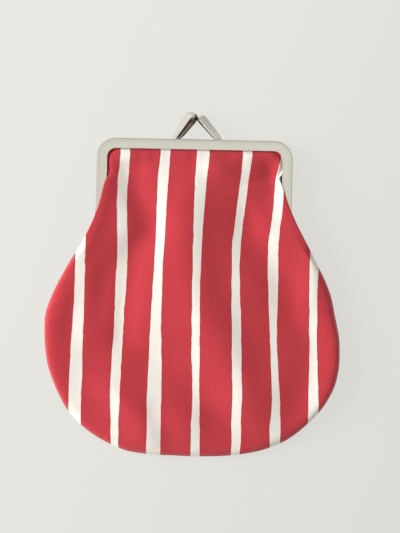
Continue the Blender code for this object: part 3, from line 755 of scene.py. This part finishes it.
def claspTab(name, tab, node, ridden):
    # sections of a leaning tapered channel, closed by a dome, with its hollow cut out
    middle = (body["halfTop"] + channel["halfGap"]) / 2
    lean = math.atan2(tab["foot"] - tab["neck"], tab["height"])
    footPoint = np.array((-tab["foot"], clasp["footDrop"], -middle))
    neckPoint = np.array((-tab["neck"], tab["height"], clasp["crossing"]))
    shares = np.array(tab["shares"])

    def corners(share):
        size = [low + (high - low) * share for low, high in (tab["widths"], tab["depths"])]
        return (shares[0] + (shares[1] - shares[0]) * share - 0.5) * size

    def place(share, section, grow=1.0, along=0.0):
        turn = lean * smooth(share, 0, clasp["bendShare"])
        across = np.array((math.cos(turn), -math.sin(turn), 0))
        centre = footPoint + (neckPoint - footPoint) * share
        centre = centre + along * np.array((math.sin(lean), math.cos(lean), 0))
        points = centre + (across * section[:, :1] + np.array((0, 0, 1)) * section[:, 1:]) * grow
        return points * (tab["side"], -1, tab["side"])

    def outside(share):
        return roundedSection(corners(share), clasp["cornerRound"], clasp["roundSteps"])

    def cavity(share):
        return roundedSection(tabCavity(corners(share)), clasp["cavityRound"], clasp["cavitySteps"])

    rings = [place(share, outside(share)) for share in np.linspace(0, 1, clasp["steps"])]
    for turn in np.radians(np.linspace(0, clasp["domeAngle"], clasp["domeSteps"] + 1)[1:]):
        rings.append(place(1, outside(1), math.cos(turn), tab["dome"] * math.sin(turn)))
    rings = np.array(rings)
    # painted shade: the tab's shaded walls, and near the tip the whole wall in shade where the two tabs meet
    first, last = clasp["paintedShadeColumns"]
    paintedShade = np.zeros(rings.shape[:2])
    paintedShade[:, first:] = tab["paintedShade"]
    paintedShade[int(clasp["paintedShadeFrom"] * clasp["steps"]):, first:last] = 1
    made = addMesh(name, rings, tubeFaces(rings.shape[:2]), claspNickel,
                   masks={"rubMask": np.full(paintedShade.shape, clasp["rub"]), "paintedShadeMask": paintedShade})
    inner = np.linspace(*clasp["cavity"], clasp["steps"])
    hollowed = np.array([place(share, cavity(share)) for share in inner])
    cutter = addMesh(name + "_cutter", hollowed, tubeFaces(hollowed.shape[:2]), claspHollow)
    cut = made.modifiers.new("hollow", "BOOLEAN")
    cut.solver = "EXACT"
    cut.object = cutter
    cut.material_mode = "TRANSFER"
    applied = bpy.data.meshes.new_from_object(made.evaluated_get(bpy.context.evaluated_depsgraph_get()))
    made.modifiers.clear()
    made.data = applied
    bpy.data.objects.remove(cutter, do_unlink=True)
    applied.set_sharp_from_angle(angle=math.radians(35))
    bevel = made.modifiers.new("edges", "BEVEL")
    bevel.width = clasp["edgeBevel"] * mm
    bevel.segments = 2
    bevel.limit_method = "ANGLE"
    bevel.angle_limit = math.radians(clasp["bevelAngle"])
    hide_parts(node)
    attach(made, ridden)


claspTab("back_tab", backTab, "back_clasp_tab", "back_half")
claspTab("front_tab", frontTab, "front_clasp_tab", "front_half")
print("clasp made")


# The pouch

pouch = {
    # the even outline, and how it is moved sideways and down
    "crossingDrop": 16.4, "neckSpread": 4.8, "neckPull": 29.9, "bellyDrop": 88.0, "bellyPull": 28.6,
    "lowBellyPull": 42.0, "bottomPull": 28.0,
    "shiftDrops": (13, 19, 24, 30, 38, 46, 54, 60, 68, 76, 90, 107, 125),
    "shifts": (0, -0.35, -0.1, 0.3, 0.7, 0.95, 0.85, 0.55, 0.1, -0.25, 0.5, 1.6, 1.0),
    "sideDrops": (46, 54, 60, 66, 74, 80, 86, 92, 99, 106, 112, 118),
    "leftSpreads": (0, 0.5, 0.35, 0.3, 0.4, 0.45, 0.15, 0.1, 0.25, 0.1, -0.2, 0),
    "rightSpreads": (0, 0, 0.3, 0.4, 0, 0, 0.25, 0.25, 0.35, 0.15, 0, 0),
    "spreadFrom": 20.0, "spreadFade": 35.0,
    "bottomPlaces": (-58, -50, -45, -39, -28, -18, -8, 6, 24, 31, 42, 50),
    "bottomDrops": (0, 0.3, 0.75, 1.1, 1.8, 1.1, 0.4, 0.45, 0.95, 1.15, 0.9, 0),
    "bottomFrom": 95.0, "bottomFade": 25.0,
    # the edge: in the groove, climbing over the arm, and closing into the side seam
    "edgeInset": 2.5, "mouthInset": 4.9, "railSteps": 29, "cornerSteps": 12, "armStart": 10.0,
    "leavingDrop": 12.4, "climbDrop": 2.5, "climbShare": 0.35, "climbOut": 0.1, "closingDrop": 13.0,
    "grooveLevel": 3.15, "hoverLevel": 4.85, "foldSlack": 0.03, "softening": 5,
    "mouthDip": 0.85, "cornerDip": 0.2, "cornerPull": 0.3, "neckPuff": 0.9, "neckPuffs": (44.0, 28.0),
    "seamHeight": 2.4, "seamSettle": 40.0,
    # the faces between the edges
    "spineDrops": (28.0, 100.0), "plateau": 5.2, "crownFall": 0.10, "pressed": 1.8, "landing": 0.45,
    "rimReach": 0.9, "ringPower": 1.7,
    # folds, and gathers by height, start or reach
    "tuckedRows": 4, "seamEase": 1.2, "neckEase": 3.2, "neckHold": 0.7, "foldSpots": 24, "foldStart": 8.0,
    "railGathers": (0.13, 6, 7), "seamGathers": (0.14, 3, 50, 10), "waves": (0.16, 0.10),
    "gatherEdges": (1.5, 10),
}
outerCloth = {"thickness": 0.4, "step": 1.05, "rows": 58, "depths": (0.2, 0.25), "tuck": 1.35, "rim": 0.3,
              "roll": 1}
lining = {"thickness": 0.3, "step": 1.5, "rows": 24, "depths": (1.9, 1.3), "inset": 2.8, "footInset": 3.0,
          "under": 0.9, "earGap": 0.6, "seamStep": 0.6, "seamRise": 0.5, "foldRise": 0.9, "rim": 0.1,
          "mouthDip": 1.5, "dipShares": (0.2, 0.65), "roll": 0}
mouthStep = pouch["mouthInset"] - pouch["edgeInset"]

# soft folds in the front cloth: the width and rise of each, sunk where negative, and the (x, drop) of
# points along it, in millimetres
folds = (
    (6.9, 1.9, ((-43.2, 11.2), (-45.1, 23.2), (-45.0, 36.6), (-52.5, 50.3))),
    (13.0, 2.9, ((-55.5, 58.3), (-55.3, 79.3), (-71.0, 96.1), (-55.1, 112.6))),
    (6.7, -2.5, ((-27.8, 16.3), (-21.3, 33.7), (-15.0, 38.4), (-27.1, 46.9), (-29.6, 80.5), (-30.5, 90.2))),
    (10.9, 2.9, ((3.7, 18.7), (-5.4, 30.2), (0.1, 67.7), (10.9, 82.6), (27.1, 119.7))),
    (9.0, -2.3, ((31.0, 23.7), (21.4, 39.9), (46.7, 69.7), (55.0, 85.9), (43.9, 118.3))),
    (4.8, 1.2, ((26.5, 25.1), (31.1, 40.7), (50.9, 46.4), (49.9, 78.2), (69.8, 82.1))),
    (13.0, 3.0, ((52.3, 56.3), (62.6, 88.3), (74.7, 94.4), (49.7, 124.7))),
    (6.1, 2.2, ((-41.9, 106.7), (-25.3, 114.9), (-16.8, 131.7))),
    (9.3, -2.0, ((-25.7, 93.6), (2.9, 106.2), (6.5, 117.9))),
    (13.0, 2.9, ((40.8, 109.1), (55.9, 97.3))),
    (5.8, -1.7, ((-48.4, 67.1), (-54.4, 87.7))),
    (7.7, 2.6, ((-8.3, 120.3), (3.2, 127.0))),
    (5.2, -1.4, ((-36.6, 52.7), (-40.9, 81.7))),
    (4.8, 1.0, ((38.7, 29.4), (55.8, 47.0))),
    (4.8, -1.2, ((7.6, 117.1), (23.8, 123.1))),
    (2.6, 2.0, ((38.6, 7.0), (38.0, 16.0), (40.6, 27.0))),
    (4.6, -1.9, ((31.5, 3.1), (34.4, 21.7))),
    (5.0, 1.9, ((4.2, 7.6), (16.6, 14.2))),
    (3.6, -1.3, ((-32.0, 12.5), (-21.0, 12.5))),
)


def bezier(*corners, count=160):
    # a cubic curve between the first and last points, drawn towards the two between them
    share = np.linspace(0, 1, count)[:, None]
    weights = ((1 - share) ** 3, 3 * (1 - share) ** 2 * share, 3 * (1 - share) * share**2, share**3)
    return sum(weight * np.array(corner) for weight, corner in zip(weights, corners))


def sideOutline():
    # (half width, drop) from where the cloth crosses the arm, over the belly, to the bottom
    x, drop = body["halfWidth"] - channel["face"], pouch["crossingDrop"]
    wide, belly, bottom = body["bellyHalf"], pouch["bellyDrop"], body["bagDrop"]
    upper = bezier((x, drop), (x + pouch["neckSpread"], drop + pouch["neckPull"]),
                   (wide, belly - pouch["bellyPull"]), (wide, belly))
    lower = bezier((wide, belly), (wide, belly + pouch["lowBellyPull"]), (pouch["bottomPull"], bottom),
                   (0, bottom))
    return np.vstack([upper, lower[1:]])


def outlineBelow(drop, inset=0.0):
    # the outline from a drop down, moved in by an inset, and the ways in
    points = sideOutline()
    start = np.interp(drop, points[:, 1], points[:, 0])
    points = np.vstack([[(start, drop)], points[points[:, 1] > drop]])
    points = spaced(points, 1.0, alongOf(points))
    along = np.gradient(points, axis=0)
    inward = unit(np.stack([-along[:, 1], along[:, 0]], axis=1))
    inward[-1] = (0, -1)
    return points + inward * inset, inward


def seamLevel(drop):
    # the side seam starts at the parting plane by the hinge and settles near the table
    settle = smooth(drop, body["hingeDrop"], pouch["seamSettle"])
    return (body["table"] + pouch["seamHeight"]) * settle


def keyTable(*columns):
    # The keys of an edge: x, drop, way in (two columns), step in, seam base, outward level, and its
    # closed and free shares. Single numbers are repeated.
    return np.column_stack(np.broadcast_arrays(*columns))


def grooveKeys(level, armDrops):
    # the cloth's edge along the groove: half the rail, round the corner, and down the arm
    half, corner, inset = body["halfWidth"], channel["corner"], pouch["edgeInset"]
    centre, radius = half - corner, corner - inset
    rail = np.linspace(0, centre, pouch["railSteps"], endpoint=False)
    turn = np.radians(np.linspace(90, 0, pouch["cornerSteps"]))
    return np.vstack([
        keyTable(rail, inset, 0, 1, mouthStep, 0, level, 0, 0),
        keyTable(centre + radius * np.cos(turn), corner - radius * np.sin(turn), -np.cos(turn),
                 np.sin(turn), mouthStep, 0, level, 0, 0),
        keyTable(half - inset, armDrops, -1, 0, mouthStep, 0, level, 0, 0),
    ])


def outerKeys():
    # the outer cloth's edge from the middle of the rail to the bottom of the pouch, right half
    level, hover = pouch["grooveLevel"], pouch["hoverLevel"]
    mouth = body["halfWidth"] - pouch["mouthInset"]
    climb = pouch["crossingDrop"] - pouch["climbDrop"] / 2
    top = pouch["crossingDrop"] + pouch["climbDrop"] / 2
    half = (pouch["leavingDrop"] + climb) / 2
    climbing = level + (hover - level) * pouch["climbShare"]
    points, inward = outlineBelow(pouch["crossingDrop"] + 2 * pouch["climbDrop"])
    closed = smooth(points[:, 1], body["hingeDrop"] + ears["radius"], pouch["closingDrop"])
    return np.vstack([
        grooveKeys(level, np.linspace(pouch["armStart"], pouch["leavingDrop"], 4)),
        (mouth + mouthStep / 2, half, -1, 0, mouthStep, 0, level, 0, 0),
        (mouth, climb, -1, 0, mouthStep, 0, climbing, 0, 0.2),
        (mouth + pouch["climbOut"], top, -1, 0, mouthStep, 0, hover, 0, 1),
        keyTable(*points.T, *inward.T, mouthStep, seamLevel(points[:, 1]) * closed, hover, closed,
                 1 - closed),
    ])


def liningKeys():
    # the lining's edge: in the groove down to the arm's foot, then inside the outer seam
    level = pouch["grooveLevel"] - lining["under"]
    hingeDrop, radius = body["hingeDrop"], ears["radius"]
    beside = np.array((hingeDrop, hingeDrop + radius + lining["earGap"]))
    points, inward = outlineBelow(hingeDrop + 2 * radius + pouch["closingDrop"], lining["inset"])
    return np.vstack([
        grooveKeys(level, np.linspace(pouch["armStart"], armFoot, 8)),
        keyTable(body["halfWidth"] - lining["footInset"], beside, -1, 0, mouthStep, 0, level, 0, 0),
        keyTable(*points.T, *inward.T, lining["seamStep"], seamLevel(points[:, 1]), lining["seamRise"], 1, 0),
    ])


def wholeLoop(keys, step):
    # the keys read at even steps, softened, and mirrored to the left half, in order round the loop
    half = spaced(keys, step, alongOf(keys[:, :2] + keys[:, 2:4] * keys[:, 4:5]))
    half = softened(half, pouch["softening"])
    half[:, 2:4] = unit(half[:, 2:4])
    half[0, 0] = half[-1, 0] = half[0, 2] = half[-1, 2] = 0
    return np.vstack([half, half[-2:0:-1] * (-1, 1, -1, 1, 1, 1, 1, 1, 1)])


def column(*values):
    # one number for each row across the cloth's edge
    return np.array(values)[:, None]


def outerRows(loop, values):
    # Insets and outward levels of the rows across the cloth's edge, mixed from three forms: flat in
    # the groove, doubled back over the arm, and rolled in at the side seam.
    level = loop[:, 6] - values["thickness"] / 2
    closed, free = loop[:, 7], loop[:, 8]
    grooved = np.clip(1 - closed - free, 0, 1)
    fold = values["thickness"] / 2 + pouch["foldSlack"]
    freeInset = column(2.0, 1.1, fold + 0.1, 0.3 * fold, 0, 0.3 * fold, fold + 0.1, 1.2, 2.4)
    freeDown = column(2, 2, 2, 1.7, 1, 0.3, 0, 0, 0) * fold
    seamInset = column(values["tuck"], 0.7, 0.26, 0.06, 0, 0.05, 0.16, 0.32, 0.52)
    seamRise = column(0.26, 0.25, 0.28, 0.5, 0.85, 1.2, 1.52, 1.8, 2.05)
    share = column(0, 0.3, 0.55, 0.7, 0.82, 0.9, 0.97, 1.06, 1.2)
    corner = np.abs(2 * loop[:, 2] * loop[:, 3]) * (loop[:, 0] < 0)
    dip = pouch["mouthDip"] + pouch["cornerDip"] * corner
    dip = column(0, 0.4, 0.9, 1, 1, 0.85, 0.65, 0.45, 0.2) * dip
    puff = 1 + pouch["neckPuff"] * (1 - smooth(loop[:, 1], *pouch["neckPuffs"]))
    step = loop[:, 4] + pouch["cornerPull"] * corner
    inset = grooved * step * share + free * freeInset + closed * seamInset
    rise = grooved * (level - dip) + free * (level - freeDown) + closed * seamRise * puff
    return inset, rise


def liningRows(loop, values):
    # the lining has a plain edge: flat in the groove and folded flat at the seam
    share = np.linspace(0, 1, 4)[:, None]
    dip = values["mouthDip"] * smooth(share, *values["dipShares"]) * (1 - loop[:, 7])
    rise = loop[:, 6] - values["thickness"] / 2 + values["foldRise"] * loop[:, 7] * share
    return loop[:, 4] * share, rise - dip


def foldHeight(x, drop):
    # Each fold is the sum of round bumps rise * e^(-(distance / width)^2) set evenly along its line,
    # scaled so that a long line has the full rise. All folds die out towards the rail.
    total, count = np.zeros_like(x), pouch["foldSpots"]
    for width, rise, line in folds:
        line = np.array(line)
        along = alongOf(line)
        spots = (np.arange(count) + 0.5) / count * along[-1]
        share = rise * along[-1] / count / (width * math.sqrt(math.pi))
        for spotX, spotDrop in zip(*(np.interp(spots, along, part) for part in line.T)):
            total += share * np.exp(-((x - spotX) ** 2 + (drop - spotDrop) ** 2) / width**2)
    return total * smooth(drop, pouch["mouthInset"], pouch["foldStart"])


def puckers(x, drop, far):
    # small gathers where the cloth is packed into the rail and along the side seam, and two slow waves:
    # sines of radians per millimetre, dying out as e^(-distance / reach)
    height, start, reach = pouch["railGathers"]
    rail = height * np.exp(-np.clip(drop - start, 0, None) / reach)
    gathers = rail * np.sin(0.83 * x + 1.3 * np.sin(0.31 * x))
    height, reach, *drops = pouch["seamGathers"]
    seam = height * np.exp(-far / reach) * smooth(drop, *drops)
    gathers += seam * np.sin(0.9 * drop + 0.55 * x + np.sin(0.23 * drop))
    first, second = pouch["waves"]
    waves = (first * np.sin(0.11 * x + 0.9) * np.sin(0.085 * drop + 0.4)
             + second * np.sin(0.19 * x - 0.05 * drop))
    flatEdge, calmEdge = pouch["gatherEdges"]
    return gathers * smooth(far, 0, flatEdge) + waves * smooth(far, 0, calmEdge)


def laidOut(x, drop):
    # Where a point of the even pouch lies: a little to the right at the neck and low down, further out
    # here and there along its sides, and lower along the bottom, which is fuller beside its middle.
    lower = np.interp(x, pouch["bottomPlaces"], pouch["bottomDrops"])
    lower = lower * smooth(drop, pouch["bottomFrom"], pouch["bottomFade"])
    left = np.interp(drop, pouch["sideDrops"], pouch["leftSpreads"])
    right = np.interp(drop, pouch["sideDrops"], pouch["rightSpreads"])
    wider = np.where(x < 0, -left, right) * smooth(np.abs(x), pouch["spreadFrom"], pouch["spreadFade"])
    return x + wider + np.interp(drop, pouch["shiftDrops"], pouch["shifts"]), drop + lower


def acrossStripes(rows, drops, x, drop):
    # a table with a row for each stripe and a column for each drop, read between them at every place
    table = np.stack([np.interp(drop, drops, row) for row in rows])
    place = np.clip((x - cloth["stripeStart"]) / cloth["stripePitch"] + 3, 0, len(rows) - 1.001)
    left = place.astype(int)
    low, high = (np.take_along_axis(table, left[None] + beside, axis=0)[0] for beside in (0, 1))
    return low + (high - low) * (place - left)


def mapCut(made, printed=False):
    # a map of the cloth as it was cut: across and down the purse, as shares of one size. A printed
    # cloth also keeps the width of the stripes.
    mesh = made.data
    points = np.empty(len(mesh.vertices) * 3)
    mesh.vertices.foreach_get("co", points)
    points = points.reshape(-1, 3)
    x = (points[:, 0] - body["middleX"]) / mm
    drop = (body["topY"] - points[:, 1]) / mm
    across = x - acrossStripes(stripeShifts, stripeDrops, x, drop)
    corners = np.empty(len(mesh.loops), int)
    mesh.loops.foreach_get("vertex_index", corners)
    layer = mesh.uv_layers.new(name="clothCut")
    layer.data.foreach_set("uv", (np.stack([across, drop], axis=1) / cloth["uvSize"])[corners].reshape(-1))
    if printed:
        widths = acrossStripes(stripeWidths, widthDrops, across, drop)
        layer = mesh.attributes.new("stripeWidth", "FLOAT", "POINT")
        layer.data.foreach_set("value", widths.astype(np.float32))


def clothSheet(name, side, keys, values, edge, look):
    # Rings from the cloth's edge in to a line down its middle. Each ring is a share of the way. The
    # height rises in two parts: a rim as 1 - e^(-distance / reach) just inside the edge, and a low
    # dome as 1 - (1 - share)^2. The front is folded, and the back is pressed on the table.
    loop = wholeLoop(keys, values["step"])
    free, depth = loop[:, 8], values["depths"][0 if side > 0 else 1]
    inset, rise = edge(loop, values)
    plan = loop[:, :2] + loop[:, 2:4] * inset[..., None]
    height = loop[:, 5] + side * rise
    spineTop, spineEnd = pouch["spineDrops"]
    share = np.clip((loop[:, 1] - spineTop) / (spineEnd - spineTop), 0, 1)
    spine = np.column_stack([0 * share, spineTop + share * (spineEnd - spineTop)])
    spineLevel = body["table"] - pouch["pressed"] + depth
    if side > 0:
        spineLevel = pouch["plateau"] * (1 - pouch["crownFall"] * (2 * share - 1) ** 2) - depth
    inner, innerHeight = plan[-1], height[-1]
    ways = (np.linspace(0, 1, values["rows"])[1:] ** pouch["ringPower"])[:, None]
    distance = ways * np.linalg.norm(spine - inner, axis=1)
    rim, dome = 1 - np.exp(-distance / pouch["rimReach"]), 1 - (1 - ways) ** 2
    swell = values["rim"] * rim + (1 - values["rim"]) * dome
    plan = np.concatenate([plan, inner + (spine - inner) * ways[..., None]])
    height = np.concatenate([height, innerHeight + (spineLevel - innerHeight) * swell])
    x, drop = plan[..., 0], plan[..., 1]
    if side > 0:
        # folds start at the rolled edge or at the lip, and the open neck's edge is partly lifted by them
        tucked = pouch["tuckedRows"]
        start = (1 - loop[:, 7] - free) * inset[min(tucked, len(inset) - 1)]
        rolled = np.clip(values["roll"] * (inset - start), 0, None)
        rolled[:tucked] = 0
        away = np.concatenate([rolled, rolled[-1] + distance])
        ease = pouch["seamEase"] + (pouch["neckEase"] - pouch["seamEase"]) * free
        held = pouch["neckHold"] * values["roll"] * free
        lifted = held + (1 - held) * smooth(away, 0, ease)
        far = np.concatenate([0 * rise, distance])
        height = height + puckers(x, drop, far) + foldHeight(x, drop) * lifted
    else:
        # a soft landing: the sheet eases onto the table instead of meeting it at a crease
        floor, ease = body["table"] + depth, pouch["landing"]
        height = floor + ease * np.log1p(np.exp(np.clip((height - floor) / ease, -40, 40)))
    places = np.stack([*laidOut(x, drop), height], axis=-1)
    faces = [face[::side] for face in gridFaces(*places.shape[:2])]  # the back's are turned over
    made = addMesh(name, places, faces, look, sharp=80, solid=False)
    mapCut(made, printed=look is stripedCotton)
    wall = made.modifiers.new("thickness", "SOLIDIFY")
    wall.thickness = values["thickness"] * mm
    wall.offset = 0
    return made


outer = (outerKeys(), outerCloth, outerRows, stripedCotton)
inside = (liningKeys(), lining, liningRows, liningCotton)
frontCloth = clothSheet("front_cloth", 1, *outer)
backCloth = clothSheet("back_cloth", -1, *outer)
frontInside = clothSheet("front_inside", 1, *inside)
backInside = clothSheet("back_inside", -1, *inside)

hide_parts("front_panel_upper", "front_panel_fold", "front_panel_lower")
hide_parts("back_panel")
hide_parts("front_lining_upper", "front_lining_fold", "front_lining_lower")
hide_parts("back_lining")
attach(backCloth, "back_half")
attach(backInside, "back_half")


def declareSheet(piece):
    # the curved area is the sum of the sheet's faces
    areas = np.empty(len(piece.data.polygons))
    piece.data.polygons.foreach_get("area", areas)
    print(piece.name, "cloth area in square millimetres:", round(areas.sum() / mm**2))


declareSheet(frontCloth)
declareSheet(frontInside)
declareSheet(backInside)
declareSheet(backCloth)


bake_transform(frontCloth)
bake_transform(frontInside)
print("cloth made")


# Paper cords in the grooves, and the two rows of stitching

cord = {"near": 1.8, "far": 3.8, "footGap": 0.5, "thickness": 0.7, "gap": 0.1, "twist": 2.4, "strands": 3,
        "depth": 0.12, "sharpness": 6, "step": 0.35, "sides": 20}
stitch = {"length": 1.9, "gap": 0.7, "radius": 0.2, "outerInset": 1.2, "liningInset": 2.1, "startGap": 0.6,
          "rings": 7, "sides": 8}


def paperCord(name, side, node, ridden):
    # a flattened twisted cord: an oval section whose radius dips where its strands meet, and the dips
    # turn as it runs round the frame
    points, ways = railPath(body["hingeDrop"] - ears["reach"] - cord["footGap"])
    table = spaced(np.column_stack([points, ways]), cord["step"], alongOf(points))
    along = np.arange(len(table))[:, None] * cord["step"]
    angle = fullTurn(cord["sides"])
    turned = cord["strands"] / 2 * (angle + along * 2 * math.pi / cord["twist"] / cord["strands"])
    radius = 1 - cord["depth"] * np.abs(np.cos(turned)) ** cord["sharpness"]
    halfWide = (cord["far"] - cord["near"]) / 2
    inset = cord["near"] + halfWide + halfWide * radius * np.cos(angle)
    low = channel["halfGap"] + channel["sheet"] + cord["gap"]
    height = low + cord["thickness"] / 2 * (1 + radius * np.sin(angle))
    places = swept(table[:, :2], table[:, 2:], inset, height, side)
    made = addMesh(name, places, tubeFaces(places.shape[:2]), twistedPaper, sharp=60)
    mapCut(made)
    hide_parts(node)
    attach(made, ridden)


def stitchRow(name, inset, node):
    # one spindle for each stitch, tapered at both ends and laid along the seam
    start = body["hingeDrop"] + ears["radius"] + pouch["closingDrop"] + stitch["startGap"]
    points = outlineBelow(start, inset)[0]
    half = np.column_stack([points, seamLevel(points[:, 1])])
    path = np.vstack([half, half[-2::-1] * (-1, 1, 1)])
    along = alongOf(path)
    pitch = stitch["length"] + stitch["gap"]
    middle = np.arange(pitch, along[-1] - pitch, pitch)
    share = np.linspace(-0.5, 0.5, stitch["rings"])
    spots = middle[:, None] + share * stitch["length"]
    x, drop, height = (np.interp(spots, along, part) for part in path.T)
    centre = np.stack([*laidOut(x, drop), height], axis=-1)
    way = unit(np.gradient(centre, axis=1))
    across = unit(np.cross(way, (0, 0, 1)))
    upward = np.cross(across, way)
    angle = fullTurn(stitch["sides"])[:, None]
    radius = stitch["radius"] * np.sqrt(np.clip(1 - (2 * share) ** 4, 0.02, 1))[:, None, None]
    places = centre[:, :, None] + radius * (across[:, :, None] * np.cos(angle)
                                            + upward[:, :, None] * np.sin(angle))
    made = addMesh(name, places, tubeFaces(*[places.shape[1:3]] * len(places)), sewingThread, sharp=60)
    mapCut(made)
    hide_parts(node)
    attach(made, "back_half")


paperCord("front_cord", 1, "front_paper_cord", "front_half")
paperCord("back_cord", -1, "back_paper_cord", "back_half")
stitchRow("outer_stitches", stitch["outerInset"], "outer_seam_thread")
stitchRow("lining_stitches", stitch["liningInset"], "lining_seam_thread")
print("cords and stitches made")


# Floor, light and camera

studio = {
    "floorColour": (0.80, 0.795, 0.755),
    "floorShade": 0.895,
    "floorFall": (0.35, 3.85, -1.92),
    "floorGlow": 0.88,
    "floorHalf": 3.0,
    "roomColour": (1.0, 1.0, 0.985),
    "roomLight": 0.495,
    "backdrop": (0.92, 0.915, 0.885),
    "wallShade": (0.42, 0.41, 0.385),
    "viewerShade": (0.07, 0.062, 0.055),
    "wallHeights": (0.10, 0.78),
    "farRise": -0.3,
    "nearRise": -0.25,
    "rightRise": 0.5,
    "viewerWidths": (-0.05, -0.45),
    "windowWidths": (-0.15, -0.50),
    "keyPlace": (-1.75, 0.22, 1.02),
    "keySize": 1.3,
    "keyPower": 54.0,
}
view = {
    "imageWidth": 400,
    "imageHeight": 533,
    "pixel": 0.4337,
    "topMiddle": (195.2, 139.2),
    "turn": 1.2,
    "distance": 1000.0,
    "sensor": 36.0,
}


def splitVector(tree, name):
    # the three parts of one of the texture coordinates
    place = addNode(tree, "TexCoord").outputs[name]
    return addNode(tree, "SeparateXYZ", {0: place}).outputs


def seenRays(tree):
    # 1 for what the camera sees, straight or in metal or glass, and 0 for light
    rays = addNode(tree, "LightPath").outputs
    shown = addMath(tree, "MAXIMUM", rays["Is Camera Ray"], rays["Is Glossy Ray"])
    return addMath(tree, "MAXIMUM", shown, rays["Is Transmission Ray"])


def makeFloor():
    # a pale table, with painted shade that makes it a little darker away from the window. For the camera it
    # partly glows with its own colour, painted light that keeps its shadows light.
    half = studio["floorHalf"]
    corners = [(-half, -half, 0), (half, -half, 0), (half, half, 0), (-half, half, 0)]
    mesh = bpy.data.meshes.new("studio_floor")
    mesh.from_pydata(corners, [], [(0, 1, 2, 3)])
    made, tree, shader = newMaterial("studio_floor", {"Roughness": 0.9, "Specular IOR Level": 0.2})
    x, y, _ = splitVector(tree, "Object")
    start, across, up = studio["floorFall"]
    # painted shade: the colour falls towards the darker one away from the window
    fall = scaled(tree, y, up, scaled(tree, x, across, start), clamp=True)
    darker = tuple(part * studio["floorShade"] for part in studio["floorColour"])
    colour = addMix(tree, fall, studio["floorColour"], darker)
    feed(tree, shader, {"Base Color": colour})
    glow = addNode(tree, "Emission", {"Color": colour}).outputs[0]
    seen = addMath(tree, "MULTIPLY", seenRays(tree), studio["floorGlow"])
    mixed = addNode(tree, "MixShader", {0: seen, 1: shader.outputs[0], 2: glow})
    feed(tree, tree.nodes["Material Output"], {"Surface": mixed.outputs[0]})
    mesh.materials.append(made)
    floor = addObject("studio_floor", mesh)


def makeLight():
    # An even pale room and one window-like lamp on the left. Metal reflects a pale ceiling and
    # window side, darker walls, and whoever takes the photograph, standing below the purse.
    world = bpy.data.worlds.new("studio")
    bpy.context.scene.world = world
    world.use_nodes = True
    tree = world.node_tree
    tree.nodes.clear()
    x, y, level = splitVector(tree, "Generated")
    viewer = ramp(tree, y, *studio["viewerWidths"])
    window = ramp(tree, x, *studio["windowWidths"])
    for operation, part, rise in (
            ("MAXIMUM", y, "farRise"), ("MINIMUM", y, "nearRise"), ("MAXIMUM", x, "rightRise")):
        level = scaled(tree, addMath(tree, operation, part, 0.0), studio[rise], level)
    straight = addNode(tree, "LightPath").outputs["Is Camera Ray"]
    ceiling = addMath(tree, "MAXIMUM", ramp(tree, level, *studio["wallHeights"]), straight)
    walls = addMix(tree, viewer, studio["wallShade"], studio["viewerShade"])
    walls = addMix(tree, window, walls, studio["backdrop"])
    room = addNode(tree, "Background", {"Color": studio["roomColour"], "Strength": studio["roomLight"]})
    seen = addNode(tree, "Background", {"Color": addMix(tree, ceiling, walls, studio["backdrop"])})
    mixed = addNode(tree, "MixShader", {0: seenRays(tree), 1: room.outputs[0], 2: seen.outputs[0]})
    addNode(tree, "OutputWorld", {0: mixed.outputs[0]})

    lamp = bpy.data.lights.new("window", "AREA")
    lamp.size = studio["keySize"]
    lamp.energy = studio["keyPower"]
    key = addObject("window", lamp)
    key.location = studio["keyPlace"]
    key.rotation_euler = (-Vector(studio["keyPlace"])).to_track_quat("-Z", "Y").to_euler()
    key.visible_glossy = False


def makeCamera():
    # straight down over the middle of the photograph, at the size of its pixels on the frame's face
    turn = math.radians(view["turn"])
    right = np.array((math.cos(turn), math.sin(turn)))
    up = np.array((-math.sin(turn), math.cos(turn)))
    across = (view["imageWidth"] / 2 - view["topMiddle"][0]) * view["pixel"]
    down = (view["imageHeight"] / 2 - view["topMiddle"][1]) * view["pixel"]
    middle = np.array((body["middleX"], body["topY"])) + (right * across - up * down) * mm
    eye = bpy.data.cameras.new("photo_view")
    eye.sensor_width = view["sensor"]
    eye.lens = view["sensor"] * view["distance"] / (view["imageHeight"] * view["pixel"])
    eye.clip_start = 0.01
    camera = addObject("photo_view", eye)
    camera.location = (*middle, body["partingZ"] + (body["halfTop"] + view["distance"]) * mm)
    camera.rotation_euler = (0, 0, turn)
    bpy.context.scene.camera = camera


makeFloor()
makeLight()
makeCamera()
bpy.context.scene.view_settings.view_transform = "Standard"
print("studio ready")
